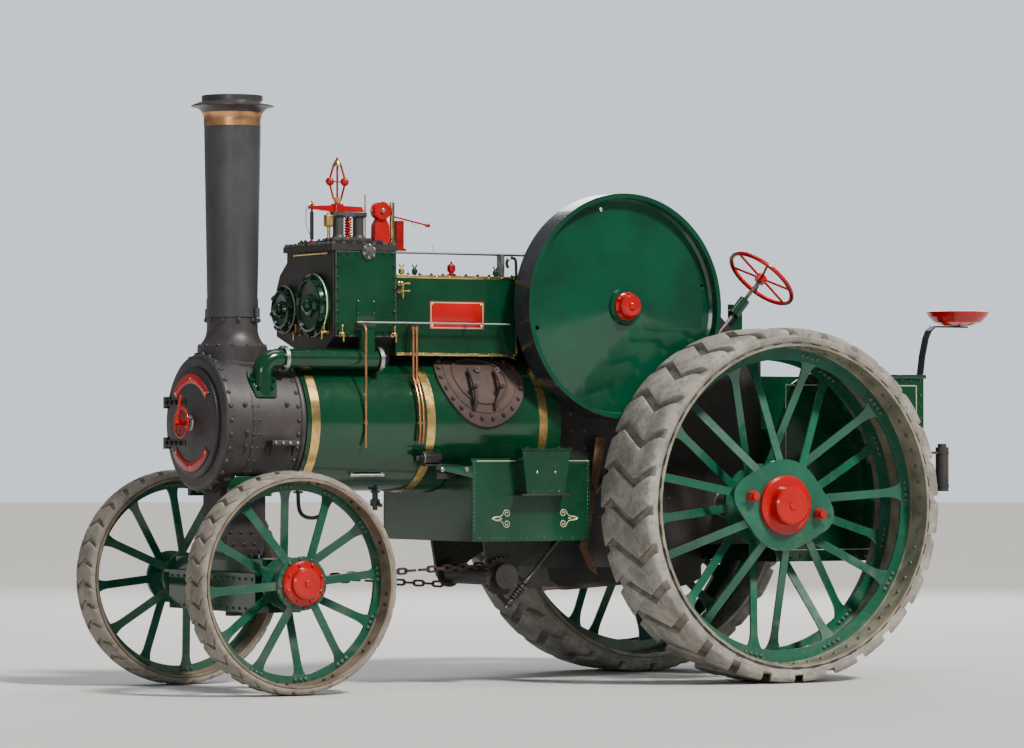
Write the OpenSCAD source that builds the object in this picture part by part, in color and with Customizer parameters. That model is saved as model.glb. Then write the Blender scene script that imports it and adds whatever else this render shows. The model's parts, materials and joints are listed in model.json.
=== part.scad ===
// Steam traction engine with a compound cylinder block, rubber shod wheels and chain steering.
// +X is forward, +Y is the engine's left, +Z is up, and the wheels stand on z = 0.

/* [Overall] */
// Distance from the rear axle to the front axle
wheelbase = 3248; // [3200:1:3320]
// Height of the boiler's centre line above the ground
boiler_z = 1575; // [1565:1:1600]

/* [Boiler] */
// Radius of the boiler over its cladding
boiler_r = 410; // [400:1:420]
// Where the cladding ends at the firebox
cladding_rear_x = 1240; // [1200:1:1280]
// Distance from the front axle back to where the cladding meets the smokebox
smokebox_lag = 273; // [262:1:284]
// Width of a brass band
band_w = 56; // [40:1:70]
// Thickness of a brass band
band_t = 4; // [3:1:8]

/* [Smokebox] */
// Radius of the smokebox shell
smokebox_r = 396; // [385:1:405]
// Length of the smokebox shell
smokebox_len = 530; // [510:1:560]
// Thickness of the smokebox plates
smokebox_wall = 12; // [8:1:16]
// Radius of the smokebox door
door_r = 322; // [300:1:335]
// Height of the dome of the door
door_dome = 34; // [28:1:45]

/* [Chimney] */
// Place of the chimney ahead of the front axle
chimney_lead = 14; // [-10:1:30]
// Height of the joint between the base and the barrel above the boiler's centre line
chimney_joint_h = 615; // [600:1:640]
// Radius of the barrel at its foot
chimney_foot_r = 147; // [140:1:155]
// Radius of the barrel at its top
chimney_top_r = 168; // [160:1:175]
// Height of the barrel from its joint to the foot of the copper bell
barrel_h = 1135; // [1080:1:1150]
// Height of the chimney's lip above the foot of the bell
bell_h = 121; // [115:1:140]
// Radius of the chimney's lip
lip_r = 244; // [235:1:260]
// Wall of the chimney
chimney_wall = 14; // [8:1:20]

/* [Cylinder] */
// Distance from the front axle back to the front face of the cylinder block
cylinder_lag = 505; // [490:1:520]
// Length of the cylinder block
cylinder_len = 423; // [400:1:440]
// Half of the width of the cylinder block
cylinder_half_w = 295; // [285:1:305]
// Height of the top of the block
cylinder_top_z = 2600; // [2590:1:2620]
// Height of the foot of the cladding panels
cylinder_side_z = 2085; // [2070:1:2100]
// Radius of the low pressure cover
lp_cover_r = 188; // [175:1:192]
// Radius of the high pressure cover
hp_cover_r = 143; // [130:1:150]

/* [Motion] */
// Place of the crankshaft ahead of the rear axle
crank_x = 861; // [845:1:880]
// Height of the crankshaft
crank_z = 2285; // [2270:1:2300]
// Radius of the flywheel
flywheel_r = 686; // [670:1:695]
// Width of the flywheel's rim
flywheel_w = 178; // [160:1:180]
// Outer face of the flywheel's rim
flywheel_y = 546; // [542:1:550]
// Thickness of the flywheel's rim
flywheel_rim_t = 28; // [24:1:60]
// Radius of the crankshaft
crank_r = 44; // [38:1:50]
// Rear end of the guide box
guide_rear_x = 1472; // [1450:1:1500]
// Half of the width of the guide box
guide_half_w = 288; // [270:1:292]
// Height of the guide box's floor
guide_floor_z = 1975; // [1960:1:1985]
// Height of the guide box's top
guide_top_z = 2460; // [2440:1:2480]

/* [Frame] */
// Half of the distance between the outer faces of the hornplates
horn_half_w = 330; // [324:1:332]
// Thickness of a hornplate
horn_t = 20; // [16:1:26]
// Half of the width of the tender
tender_half_w = 500; // [480:1:515]
// Length of the tender behind the rear axle
tender_rear = 1380; // [1340:1:1420]
// Height of the tender's top edge
tender_top_z = 1885; // [1860:1:1900]
// Height of the tender's underside
tender_floor_z = 720; // [700:1:760]
// Height of the footplate
footplate_z = 1165; // [1162:1:1180]
// Thickness of the tender's plates
plate_t = 12; // [10:1:16]

/* [Tank] */
// Front of the belly tank
tank_front_x = 1940; // [1900:1:1960]
// Rear of the belly tank
tank_rear_x = 1124; // [1110:1:1150]
// Half of the width of the belly tank
tank_half_w = 548; // [530:1:556]
// Height of the tank's underside
tank_floor_z = 868; // [860:1:880]
// Height of the tank's top
tank_top_z = 1366; // [1340:1:1380]

/* [Rear wheels] */
// Radius of a rear wheel over its rubber
rear_wheel_r = 1079; // [1070:1:1085]
// Thickness of the rubber of a rear wheel
rear_rubber_t = 97; // [90:1:105]
// Width of a rear wheel
rear_wheel_w = 560; // [540:1:562]
// Distance between the middles of the rear wheels
rear_track = 1676; // [1674:1:1690]
// Number of spokes in each row of a rear wheel
rear_spokes = 10; // [8:1:12]
// Radius of the rear axle
rear_axle_r = 60; // [50:1:62]

/* [Front wheels] */
// Radius of a front wheel over its rubber
front_wheel_r = 648; // [640:1:655]
// Thickness of the rubber of a front wheel
front_rubber_t = 45; // [40:1:50]
// Width of a front wheel
front_wheel_w = 228; // [210:1:232]
// Distance between the middles of the front wheels
front_track = 1471; // [1465:1:1500]
// Number of spokes in each row of a front wheel
front_spokes = 6; // [5:1:8]
// Radius of the front axle's ends
front_axle_r = 42; // [36:1:46]

/* [Steering] */
// Place of the steering drum ahead of the rear axle
drum_x = 1625; // [1610:1:1640]
// Height of the steering drum
drum_z = 655; // [645:1:665]
// Radius of the steering drum
drum_r = 58; // [50:1:64]
// Radius of the steering wheel
steering_wheel_r = 240; // [220:1:250]
// Slope of the steering column
column_slope = 47.5; // [47:0.5:48]
// Radius of the steering shaft
column_r = 12; // [9:1:12]

/* [Hidden] */
$fn = 96;

// Gap between pieces that seat on each other along curved faces
seating = 0.3;
// Running clearance of a shaft or pin in its bore, on the radius
fit = 0.05;
// Overlap that joins the pieces of one solid
bite = 2;

green = [0.02, 0.3, 0.17];
black = [0.13, 0.12, 0.12];
charcoal = [0.24, 0.23, 0.25];
red = [0.78, 0.05, 0.06];
brass = [0.85, 0.63, 0.25];
rubber = [0.45, 0.42, 0.38];
steel = [0.7, 0.7, 0.72];

cladding_front_x = wheelbase - smokebox_lag;
smokebox_front_x = cladding_front_x + smokebox_len;
chimney_x = wheelbase + chimney_lead;
chimney_joint_z = boiler_z + chimney_joint_h;
bell_z = chimney_joint_z + barrel_h;
lip_z = bell_z + bell_h;
cylinder_front_x = wheelbase - cylinder_lag;
cylinder_rear_x = cylinder_front_x - cylinder_len;
rear_rim_r = rear_wheel_r - rear_rubber_t;
front_rim_r = front_wheel_r - front_rubber_t;
seat_pan_r = 200;
seat_back = 323;
seat_x = -tender_rear - seat_back;
seat_y = 420;
shift_x = -(wheelbase + front_wheel_r + seat_x - seat_pan_r) / 2;

// Puts a piece drawn from the rear axle into the part's frame
module placed() {
    translate([shift_x, 0, 0]) children();
}

// Cylinder along X from x0 to x1
module bar_x(x0, x1, r, y, z) {
    translate([x0, y, z]) rotate([0, 90, 0]) cylinder(h = x1 - x0, r = r);
}

// Cylinder along Y from y0 to y1
module bar_y(y0, y1, r, x, z) {
    translate([x, y1, z]) rotate([90, 0, 0]) cylinder(h = y1 - y0, r = r);
}

// Cylinder along Z from z0 to z1
module bar_z(z0, z1, r, x, y) {
    translate([x, y, z0]) cylinder(h = z1 - z0, r = r);
}

// Box between two corners
module block(a, b) {
    translate(a) cube(b - a);
}

// Plate in the XZ plane from y0 to y1, with an outline of [x, z] points
module plate_xz(y0, y1) {
    translate([0, y1, 0]) rotate([90, 0, 0]) linear_extrude(y1 - y0) children();
}

// Plate in the YZ plane from x0 to x1, with an outline of [y, z] points
module plate_yz(x0, x1) {
    translate([x0, 0, 0]) rotate([90, 0, 90]) linear_extrude(x1 - x0) children();
}

// Solid turned about a line along X, with an outline of [radius, distance] points
module turned_x(x0, y, z) {
    translate([x0, y, z]) rotate([0, 90, 0]) rotate_extrude() children();
}

// Solid turned about a line along Y, with an outline of [radius, distance] points
module turned_y(y0, x, z) {
    translate([x, y0, z]) rotate([-90, 0, 0]) rotate_extrude() children();
}

// Bend of a pipe in the YZ plane, about the centre [y, z], from angle a0 to a1
module bend_yz(x, centre, bend, a0, a1, r) {
    translate([x, centre[0], centre[1]]) rotate([90, 0, 90]) rotate([0, 0, a0])
        rotate_extrude(angle = a1 - a0) translate([bend, 0]) circle(r = r, $fn = 24);
}

function polar(cx, cy, r, a) = [cx + r * cos(a), cy + r * sin(a)];

function arc(cx, cy, r, a0, a1, n) = [for (i = [0:n]) polar(cx, cy, r, a0 + (a1 - a0) * i / n)];

// Smokebox and its door

hinge_pin_r = 9;
knuckle_r = 17;
knuckle_h = 44;
lug_t = 12;
lug_gap = 0.5;
strap_z = 120;
door_x = smokebox_front_x + 3;
door_edge_t = 14;
hinge_x = door_x + knuckle_r;
hinge_y = -(door_r + 26);
hole_r = door_r - 24;
ring_r = smokebox_r + 8;
ring_w = 46;
ring_round = 30;
bead_half_w = 17;
bead_h = 10;
boss_r = 42;
boss_h = 12;

module smokebox() {
    color(charcoal) placed() {
        difference() {
            union() {
                bar_x(cladding_front_x, smokebox_front_x - ring_w + bite, smokebox_r, 0, boiler_z);
                turned_x(smokebox_front_x - ring_w, 0, boiler_z) polygon(concat(
                    [[0, 0], [ring_r, 0]],
                    arc(ring_r - ring_round, ring_w - ring_round, ring_round, 0, 90, 6),
                    [[0, ring_w]]));
                turned_x(cladding_front_x, 0, boiler_z) polygon(concat([[0, 0]],
                    [for (a = [0:15:180]) [smokebox_r + bead_h * sin(a), bead_half_w * (1 - cos(a))]],
                    [[0, 2 * bead_half_w]]));
            }
            bar_x(cladding_front_x + smokebox_wall, smokebox_front_x - smokebox_wall,
                smokebox_r - smokebox_wall, 0, boiler_z);
            bar_x(smokebox_front_x - 30, smokebox_front_x + 1, hole_r, 0, boiler_z);
            bar_z(boiler_z, boiler_z + smokebox_r + 50, chimney_foot_r - chimney_wall, chimney_x, 0);
        }
        for (side = [-1, 1], end = [-1, 1]) {
            reach = knuckle_h / 2 + lug_gap;
            z0 = boiler_z + side * strap_z + (end > 0 ? reach : -reach - lug_t);
            bar_z(z0, z0 + lug_t, knuckle_r, hinge_x, hinge_y);
            block([smokebox_front_x - 30, hinge_y - knuckle_r, z0],
                [hinge_x, hinge_y + knuckle_r, z0 + lug_t]);
        }
        for (side = [-1, 1]) {
            reach = knuckle_h / 2 + lug_gap + bite;
            bar_z(boiler_z + side * strap_z - reach, boiler_z + side * strap_z + reach,
                hinge_pin_r, hinge_x, hinge_y);
        }
    }
}

module smokebox_door() {
    color([0.16, 0.16, 0.18]) placed() difference() {
        union() {
            turned_x(door_x, 0, boiler_z) polygon([[0, 0], [door_r, 0], [door_r, door_edge_t],
                [door_r - 24, 22], [door_r * 0.5, door_dome - 4], [boss_r + 4, door_dome - 1],
                [boss_r, door_dome + boss_h], [0, door_dome + boss_h]]);
            for (side = [-1, 1]) {
                z = boiler_z + side * strap_z;
                bar_z(z - knuckle_h / 2, z + knuckle_h / 2, knuckle_r, hinge_x, hinge_y);
                block([door_x + 4, hinge_y, z - 19], [door_x + door_dome, -60, z + 19]);
            }
        }
        for (side = [-1, 1])
            bar_z(boiler_z + side * strap_z - knuckle_h, boiler_z + side * strap_z + knuckle_h,
                hinge_pin_r + fit, hinge_x, hinge_y);
    }
}

handle_x = door_x + door_dome + boss_h + seating;
handwheel_r = 86;

module door_handles() {
    color(red) placed() {
        bar_x(handle_x, handle_x + 86, 17, 0, boiler_z);
        turned_x(handle_x + 42, 0, boiler_z) translate([handwheel_r, 0]) circle(r = 8, $fn = 24);
        for (a = [0:72:359])
            translate([handle_x + 42, 0, boiler_z]) rotate([a, 0, 0])
                cylinder(h = handwheel_r, r = 6, $fn = 16);
        translate([handle_x + 74, 0, boiler_z]) rotate([-20, 0, 0]) translate([0, 0, -20])
            cylinder(h = 190, r = 9, $fn = 20);
    }
}

// Chimney

base_flare_r = 130;
base_foot_r = 222;

module chimney_base() {
    color(charcoal) placed() difference() {
        union() {
            translate([chimney_x, 0, 0]) rotate_extrude() polygon(concat(
                [[0, boiler_z + smokebox_r * 0.8], [chimney_foot_r + 60, boiler_z + smokebox_r * 0.8]],
                arc(chimney_foot_r + 4 + base_flare_r, chimney_joint_z - 60, base_flare_r, 235, 180, 8),
                [[chimney_foot_r + 4, chimney_joint_z], [0, chimney_joint_z]]));
            intersection() {
                bar_x(chimney_x - 230, smokebox_front_x - ring_w - bite, smokebox_r + 14, 0, boiler_z);
                bar_z(boiler_z, boiler_z + smokebox_r + 60, base_foot_r, chimney_x, 0);
            }
        }
        bar_x(chimney_x - 300, chimney_x + 300, smokebox_r + seating, 0, boiler_z);
        bar_x(smokebox_front_x - ring_w - seating, smokebox_front_x, ring_r + seating, 0, boiler_z);
        bar_z(boiler_z, chimney_joint_z + 1, chimney_foot_r - chimney_wall, chimney_x, 0);
    }
}

module chimney_barrel() {
    clamp_y = chimney_foot_r + 26;
    color(charcoal) placed() translate([chimney_x, 0, 0]) difference() {
        union() {
            translate([0, 0, chimney_joint_z]) cylinder(h = bell_z - chimney_joint_z,
                r1 = chimney_foot_r, r2 = chimney_top_r);
            bar_z(chimney_joint_z + 8, chimney_joint_z + 54, chimney_foot_r + 10, 0, 0);
            bar_z(chimney_joint_z + 53, chimney_joint_z + 116, chimney_foot_r + 6, 0, 0);
            for (side = [-1, 1]) rotate([0, 0, 30]) {
                bar_z(chimney_joint_z + 4, chimney_joint_z + 60, 17, 0, side * clamp_y);
                translate([-12, side * (clamp_y - 12) - 14, chimney_joint_z + 10]) cube([24, 28, 42]);
            }
        }
        translate([0, 0, chimney_joint_z - 0.01]) cylinder(h = bell_z - chimney_joint_z + 0.02,
            r1 = chimney_foot_r - chimney_wall, r2 = chimney_top_r - chimney_wall);
    }
}

module chimney_bell() {
    inner_r = chimney_top_r - chimney_wall;
    flare_r = lip_r - chimney_top_r - 6;
    color([0.72, 0.42, 0.22]) placed() translate([chimney_x, 0, 0]) rotate_extrude()
        polygon(concat([[inner_r, bell_z], [chimney_top_r + 2, bell_z]],
            arc(chimney_top_r + 2 + flare_r, lip_z - 5 - flare_r, flare_r, 180, 100, 7),
            [[lip_r, lip_z - 4], [lip_r, lip_z + 3], [lip_r - 62, lip_z + 28],
            [lip_r - 62, lip_z + 60], [inner_r, lip_z + 60]]));
}

// Boiler

flywheel_room = 12;

// The cladding's rear corner is let in where the flywheel runs past it
module boiler() {
    color(green) placed() difference() {
        bar_x(cladding_rear_x, cladding_front_x - seating, boiler_r, 0, boiler_z);
        bar_y(flywheel_y - flywheel_w - flywheel_room, flywheel_y, flywheel_r + flywheel_room,
            crank_x, crank_z);
    }
}

band_count = 3;
band_rear = 127;
band_front = 55;

band_pitch = (cladding_front_x - cladding_rear_x - band_rear - band_front) / (band_count - 1);
band_x = [for (i = [0:band_count - 1]) cladding_rear_x + band_rear + i * band_pitch];
band_r = boiler_r + seating + band_t;

module boiler_bands() {
    color(brass) placed()
        for (x = band_x)
            difference() {
                bar_x(x - band_w / 2, x + band_w / 2, band_r, 0, boiler_z);
                bar_x(x - band_w, x + band_w, boiler_r + seating, 0, boiler_z);
            }
}

// Room for the bands in what lies on the boiler
module band_room() {
    for (x = band_x)
        bar_x(x - band_w / 2 - seating, x + band_w / 2 + seating, band_r + seating, 0, boiler_z);
}

// Hornplates with the firebox, the ashpan and the crankshaft's bearings

firebox_rear_x = 350;
firebox_floor_z = 700;
firebox_top_z = boiler_z + 330;
horn_rear_x = -260;
horn_front_x = cladding_rear_x + 40;
horn_foot_z = 830;
horn_top_z = crank_z + 45;
bearing_r = crank_r + 60;
bearing_w = 66;
axle_box_r = rear_axle_r + 30;
fire_z = 1330;
fire_h = 230;
fire_half_w = 95;
fire_strap_z = 80;
fire_knuckle_h = 36;
fire_pin_r = 6;
fire_hinge_y = fire_half_w + 32;
fire_hinge_x = firebox_rear_x - 16;

module hornplates() {
    outline = [[horn_rear_x, horn_foot_z], [horn_front_x, horn_foot_z],
        [horn_front_x, horn_top_z - 290], [horn_front_x - 60, horn_top_z], [380, horn_top_z],
        [60, horn_top_z - 70], [horn_rear_x, horn_top_z - 370]];
    color(black) placed() difference() {
        union() {
            for (side = [-1, 1])
                plate_xz(side > 0 ? horn_half_w - horn_t : -horn_half_w,
                    side > 0 ? horn_half_w : -horn_half_w + horn_t) polygon(outline);
            block([firebox_rear_x, -horn_half_w + bite, firebox_floor_z],
                [cladding_rear_x - seating, horn_half_w - bite, firebox_top_z]);
            block([horn_rear_x, -horn_half_w + bite, footplate_z - plate_t],
                [firebox_rear_x + bite, horn_half_w - bite, footplate_z]);
            plate_xz(-230, 230) polygon([[420, firebox_floor_z + bite], [450, 600], [1100, 560],
                [1215, 620], [cladding_rear_x - 10, firebox_floor_z + bite]]);
            for (side = [-1, 1]) {
                y = side * (horn_half_w - 26);
                bar_y(y - bearing_w / 2, y + bearing_w / 2, bearing_r, crank_x, crank_z);
                block([crank_x - 130, y - bearing_w / 2, crank_z - 40],
                    [crank_x + 130, y + bearing_w / 2, crank_z + 70]);
            }
        }
        bar_y(-horn_half_w - 1, horn_half_w + 1, axle_box_r, 0, rear_wheel_r);
        bar_y(-horn_half_w - 40, horn_half_w + 40, crank_r + fit, crank_x, crank_z);
        block([firebox_rear_x - 1, -fire_half_w, fire_z],
            [firebox_rear_x + 80, fire_half_w, fire_z + fire_h]);
        bar_x(cladding_rear_x - seating, horn_front_x + 10, boiler_r + seating, 0, boiler_z);
    }
    color(black) placed() for (side = [-1, 1]) {
        z = fire_z + fire_h / 2 + side * fire_strap_z;
        reach = fire_knuckle_h / 2 + lug_gap;
        bar_z(z - reach - bite, z + reach + bite, fire_pin_r, fire_hinge_x, fire_hinge_y);
        for (z0 = [z - reach - lug_t, z + reach])
            block([fire_hinge_x - 12, fire_hinge_y - 12, z0],
                [firebox_rear_x + bite, fire_hinge_y + 12, z0 + lug_t]);
    }
}

// Fire door, hinged on pins at its left edge

fire_door_t = 12;

module firehole_door() {
    z_mid = fire_z + fire_h / 2;
    color(black) placed() difference() {
        union() {
            block([firebox_rear_x - 3 - fire_door_t, -fire_half_w - 16, fire_z - 14],
                [firebox_rear_x - 3, fire_half_w + 12, fire_z + fire_h + 14]);
            for (side = [-1, 1]) {
                z = z_mid + side * fire_strap_z;
                bar_z(z - fire_knuckle_h / 2, z + fire_knuckle_h / 2, 12, fire_hinge_x, fire_hinge_y);
                block([fire_hinge_x - 10, -40, z - 14], [fire_hinge_x + 4, fire_hinge_y, z + 14]);
            }
            bar_x(firebox_rear_x - 62, firebox_rear_x - 12, 9, -fire_half_w + 10, z_mid);
        }
        bar_z(z_mid - 120, z_mid + 120, fire_pin_r + fit, fire_hinge_x, fire_hinge_y);
    }
}

// Cylinder block, its cladding and covers

flare_y = -430;
cover_z = cylinder_side_z + 172;
lp_y = 82;
hp_y = -285;
deck_t = 34;
deck_z = cylinder_top_z + deck_t;
top_t = 28;
top_z = deck_z + top_t;

module cylinder_block() {
    color(charcoal) placed() difference() {
        union() {
            plate_yz(cylinder_rear_x, cylinder_front_x) polygon([
                [flare_y, cylinder_side_z + 15], [flare_y, cylinder_side_z + 300],
                [flare_y + 40, cylinder_side_z + 380], [-cylinder_half_w, cylinder_top_z - 60],
                [-cylinder_half_w, cylinder_top_z], [cylinder_half_w, cylinder_top_z],
                [cylinder_half_w, cylinder_side_z], [210, cylinder_side_z - 60],
                [210, boiler_z + boiler_r * 0.7], [-210, boiler_z + boiler_r * 0.7],
                [-210, cylinder_side_z - 60]]);
            block([cylinder_rear_x - 6, -cylinder_half_w - 16, cylinder_top_z - bite],
                [cylinder_front_x + 18, cylinder_half_w + 16, deck_z]);
            block([cylinder_rear_x + 40, -cylinder_half_w + 60, deck_z - bite],
                [cylinder_front_x - 40, cylinder_half_w - 90, top_z]);
        }
        bar_x(cylinder_rear_x - 60, cylinder_front_x + 60, boiler_r + seating, 0, boiler_z);
    }
}

module cylinder_cladding() {
    covers = [[lp_y, lp_cover_r, cover_z + 16], [hp_y, hp_cover_r, cover_z]];
    color(green) placed() {
        difference() {
            plate_xz(cylinder_half_w + seating, cylinder_half_w + 11) polygon([
                [cylinder_rear_x + 4, cylinder_side_z], [cylinder_front_x - 8, cylinder_side_z],
                [cylinder_front_x - 8, cylinder_top_z - 6], [cylinder_rear_x + 4, cylinder_top_z - 6]]);
            bar_y(cylinder_half_w - 20, cylinder_half_w + 20, 52, cylinder_rear_x + 195,
                cylinder_top_z + 4);
        }
        for (row = covers) {
            r = row[1];
            turned_x(cylinder_front_x, row[0], row[2]) polygon([[0, 0], [r, 0], [r, 26],
                [r - 24, 30], [r - 30, 56], [r - 42, 60], [r - 50, 44], [r * 0.38, 40],
                [r * 0.3, 58], [r * 0.12, 68], [0, 68]]);
        }
    }
}

// Safety valves, governor and lubricators on top of the block

valve_front = 191;
valve_pitch = 136;
valve_h = 176;
valve_x = [cylinder_front_x - valve_front, cylinder_front_x - valve_front - valve_pitch];
arm_z = top_z + valve_h + 4;
gov_x = valve_x[0] + 7;
gov_y = 0;
collar_z = arm_z + 44;
ball_z = collar_z + 134;
ball_y = 42;
ball_r = 28;
gov_r = 12;

module safety_valves() {
    color(charcoal) placed() {
        block([valve_x[1] - 60, -60, top_z], [valve_x[0] + 60, 60, top_z + 22]);
        for (x = valve_x)
            translate([x, 0, top_z + 22 - bite]) rotate_extrude() polygon([[0, 0], [40, 0],
                [33, 20], [33, valve_h - 56], [44, valve_h - 40], [44, valve_h - 24 + bite],
                [0, valve_h - 24 + bite]]);
        block([valve_x[1] - 44, -30, top_z + valve_h - 26], [valve_x[0] + 44, 30, top_z + valve_h]);
        bar_z(top_z + 20, top_z + valve_h - 24, 9, (valve_x[0] + valve_x[1]) / 2, 0);
    }
}

pulley_x = cylinder_rear_x - 20;
rod_x = cylinder_front_x - 12;

module governor_stand() {
    color(red) placed() {
        difference() {
            union() {
                plate_xz(-17, 17) polygon([[rod_x + 16, arm_z + 10], [rod_x + 16, arm_z + 28],
                    [gov_x + 40, arm_z + 36], [gov_x - 160, arm_z + 30], [gov_x - 175, arm_z],
                    [gov_x + 40, arm_z - 3.7]]);
                bar_z(arm_z - 3.7, collar_z, 38, gov_x, gov_y);
            }
            bar_z(arm_z + 8, collar_z + 1, gov_r + fit, gov_x, gov_y);
        }
        bar_z(deck_z, arm_z + 16, 7, rod_x, 0);
        plate_xz(30, 82) polygon([[pulley_x - 56, deck_z], [pulley_x + 48, deck_z],
            [pulley_x + 44, deck_z + 130], [pulley_x + 8, deck_z + 190],
            [pulley_x - 20, deck_z + 190], [pulley_x - 52, deck_z + 130]]);
        turned_y(36, pulley_x, deck_z + 215) polygon([[0, 0], [54, 0], [54, 9], [46, 15], [46, 45],
            [54, 51], [54, 60], [0, 60]]);
    }
}

module governor() {
    color(red) placed() translate([gov_x, gov_y, 0]) {
        bar_z(arm_z + 8.3, collar_z + 256, gov_r, 0, 0);
        bar_z(collar_z + 0.5, collar_z + 26, 26, 0, 0);
        bar_z(collar_z + 236, collar_z + 262, 24, 0, 0);
        for (side = [-1, 1]) {
            translate([0, side * ball_y, ball_z]) sphere(r = ball_r);
            gov_link(side, collar_z + 18);
            gov_link(side, collar_z + 246);
        }
    }
}

// Straight link from a collar at height z to a ball
module gov_link(side, z) {
    foot = [0, side * 20, z];
    v = [0, side * ball_y, ball_z] - foot;
    lean = atan2(v[1], v[2]);
    translate(foot) rotate([-lean, 0, 0]) cylinder(h = norm(v), r = 5, $fn = 16);
}

cup_x = cylinder_rear_x - 115;
shelf_x = cylinder_rear_x - 200;
pot_lead = 432;
pot_y = 230;

module lubricators() {
    color(brass) placed() {
        block([shelf_x, -60, cylinder_top_z + 6], [cylinder_rear_x - 6 - seating, 60, deck_z - 8]);
        bar_z(deck_z - 10, deck_z + 270, 15, cup_x, 38);
        bar_z(deck_z - 10, deck_z + 40, 24, cup_x, 38);
        block([shelf_x + 8, -46, deck_z - 10], [cup_x - 30, 46, deck_z + 160]);
        translate([guide_rear_x + pot_lead, pot_y, guide_top_z + seating]) rotate_extrude()
            polygon([[0, 0], [28, 0], [28, 8], [15, 14], [15, 22], [25, 30], [25, 62], [14, 72],
                [7, 74], [9, 84], [0, 88]]);
    }
}

// Pipe from the cylinder block forward and down to the smokebox

pipe_r = 59;
pipe_y = 322;
pipe_z = 1950;
pipe_front_x = cladding_front_x + 255;
pipe_rear_x = cylinder_front_x - 208;
pipe_end = 84;
branch_r = 54;
bend_r = 90;
pipe_flange_r = 76;
pipe_flange_t = 22;
pipe_foot_r = 86;

module exhaust_pipe() {
    color(green) placed() difference() {
        union() {
            bar_x(pipe_rear_x - pipe_end + bite, pipe_front_x - bend_r, pipe_r, pipe_y, pipe_z);
            for (x = [pipe_rear_x - pipe_end, pipe_front_x - bend_r - 60])
                bar_x(x, x + pipe_flange_t, pipe_flange_r, pipe_y, pipe_z);
            translate([pipe_front_x - bend_r, pipe_y, pipe_z - bend_r]) rotate([90, 0, 0])
                rotate_extrude(angle = 90) translate([bend_r, 0]) circle(r = pipe_r);
            bar_z(boiler_z + 160, pipe_z - bend_r, pipe_r, pipe_front_x, pipe_y);
            intersection() {
                bar_x(pipe_front_x - 100, pipe_front_x + 100, smokebox_r + 14, 0, boiler_z);
                bar_z(boiler_z + 150, pipe_z, pipe_foot_r, pipe_front_x, pipe_y);
            }
            bar_z(pipe_z, cylinder_side_z + 40, branch_r, pipe_rear_x, pipe_y);
        }
        bar_x(pipe_front_x - 200, pipe_front_x + 200, smokebox_r + seating, 0, boiler_z);
        block([cylinder_rear_x - 9, 0, cylinder_side_z - 61],
            [cylinder_front_x + 9, cylinder_half_w + 12, cylinder_top_z]);
    }
}

// Guide box and crank cover

module guide_box() {
    color(green) placed() difference() {
        block([guide_rear_x, -guide_half_w, guide_floor_z],
            [cylinder_rear_x - seating, guide_half_w, guide_top_z]);
        bar_x(guide_rear_x - 60, cylinder_rear_x + 60, boiler_r + seating, 0, boiler_z);
        band_room();
    }
}

cover_half_w = horn_half_w - horn_t - 45;

module crank_cover() {
    color(black) placed() difference() {
        plate_xz(-cover_half_w, cover_half_w) polygon(concat(
            [[guide_rear_x - seating, horn_top_z - 130], [guide_rear_x - seating, guide_top_z - 10]],
            arc(crank_x, crank_z, 270, 50, 180, 10), [[crank_x - 270, horn_top_z - 130]]));
        bar_y(-horn_half_w, horn_half_w, crank_r + 8, crank_x, crank_z);
    }
}

// Flywheel on the crankshaft

hub_r = crank_r + 66;
hub_w = 184;
dish_depth = 70;
web_t = 18;
web_hole_r = 13;
web_holes = 4;
cap_flange_r = 85;
cap_r = 72;
cap_len = 70;

module flywheel() {
    mid = flywheel_w / 2;
    rim_in = flywheel_r - flywheel_rim_t;
    web_y = flywheel_w - dish_depth;
    color(green) placed() difference() {
        turned_y(flywheel_y - flywheel_w, crank_x, crank_z) polygon([
            [crank_r + fit, mid - hub_w / 2], [hub_r, mid - hub_w / 2],
            [hub_r + 8, flywheel_w - 14 - web_t], [rim_in - 16, web_y - web_t],
            [rim_in, web_y - web_t - 14], [rim_in, 0], [flywheel_r, 0], [flywheel_r, flywheel_w],
            [rim_in, flywheel_w], [rim_in, web_y + 14], [rim_in - 16, web_y],
            [hub_r + 8, flywheel_w - 14], [hub_r, mid + hub_w / 2], [crank_r + fit, mid + hub_w / 2]]);
        for (i = [0:web_holes - 1])
            translate([crank_x, 0, crank_z]) rotate([0, 13 + i * 360 / web_holes, 0])
                bar_y(0, flywheel_y + 10, web_hole_r, 0, rim_in * 0.92);
    }
}

module crankshaft() {
    cap_y = flywheel_y - flywheel_w / 2 + hub_w / 2 + seating;
    color(steel) placed() {
        bar_y(-horn_half_w - 8, cap_y + bite, crank_r, crank_x, crank_z);
        turned_y(cap_y, crank_x, crank_z) polygon([[0, 0], [cap_flange_r, 0], [cap_flange_r, 14],
            [cap_r + 6, 18], [cap_r, 24], [cap_r - 2, cap_len - 16], [cap_r - 14, cap_len - 4],
            [cap_r - 40, cap_len], [0, cap_len]]);
    }
}

// Gear guard on the right side

guard_inner_y = horn_half_w + 14;
guard_outer_y = 540;
shaft_x = 430;
shaft_z = (rear_wheel_r + crank_z) / 2 + 118;
// Each gear in the guard: x, z, radius of the guard round it
guarded = [
    [0, rear_wheel_r, rear_wheel_r / 2],
    [shaft_x, shaft_z, 250],
    [crank_x, crank_z, 190]
];
guard_rise = 130;
guard_fall = -34;

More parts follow.
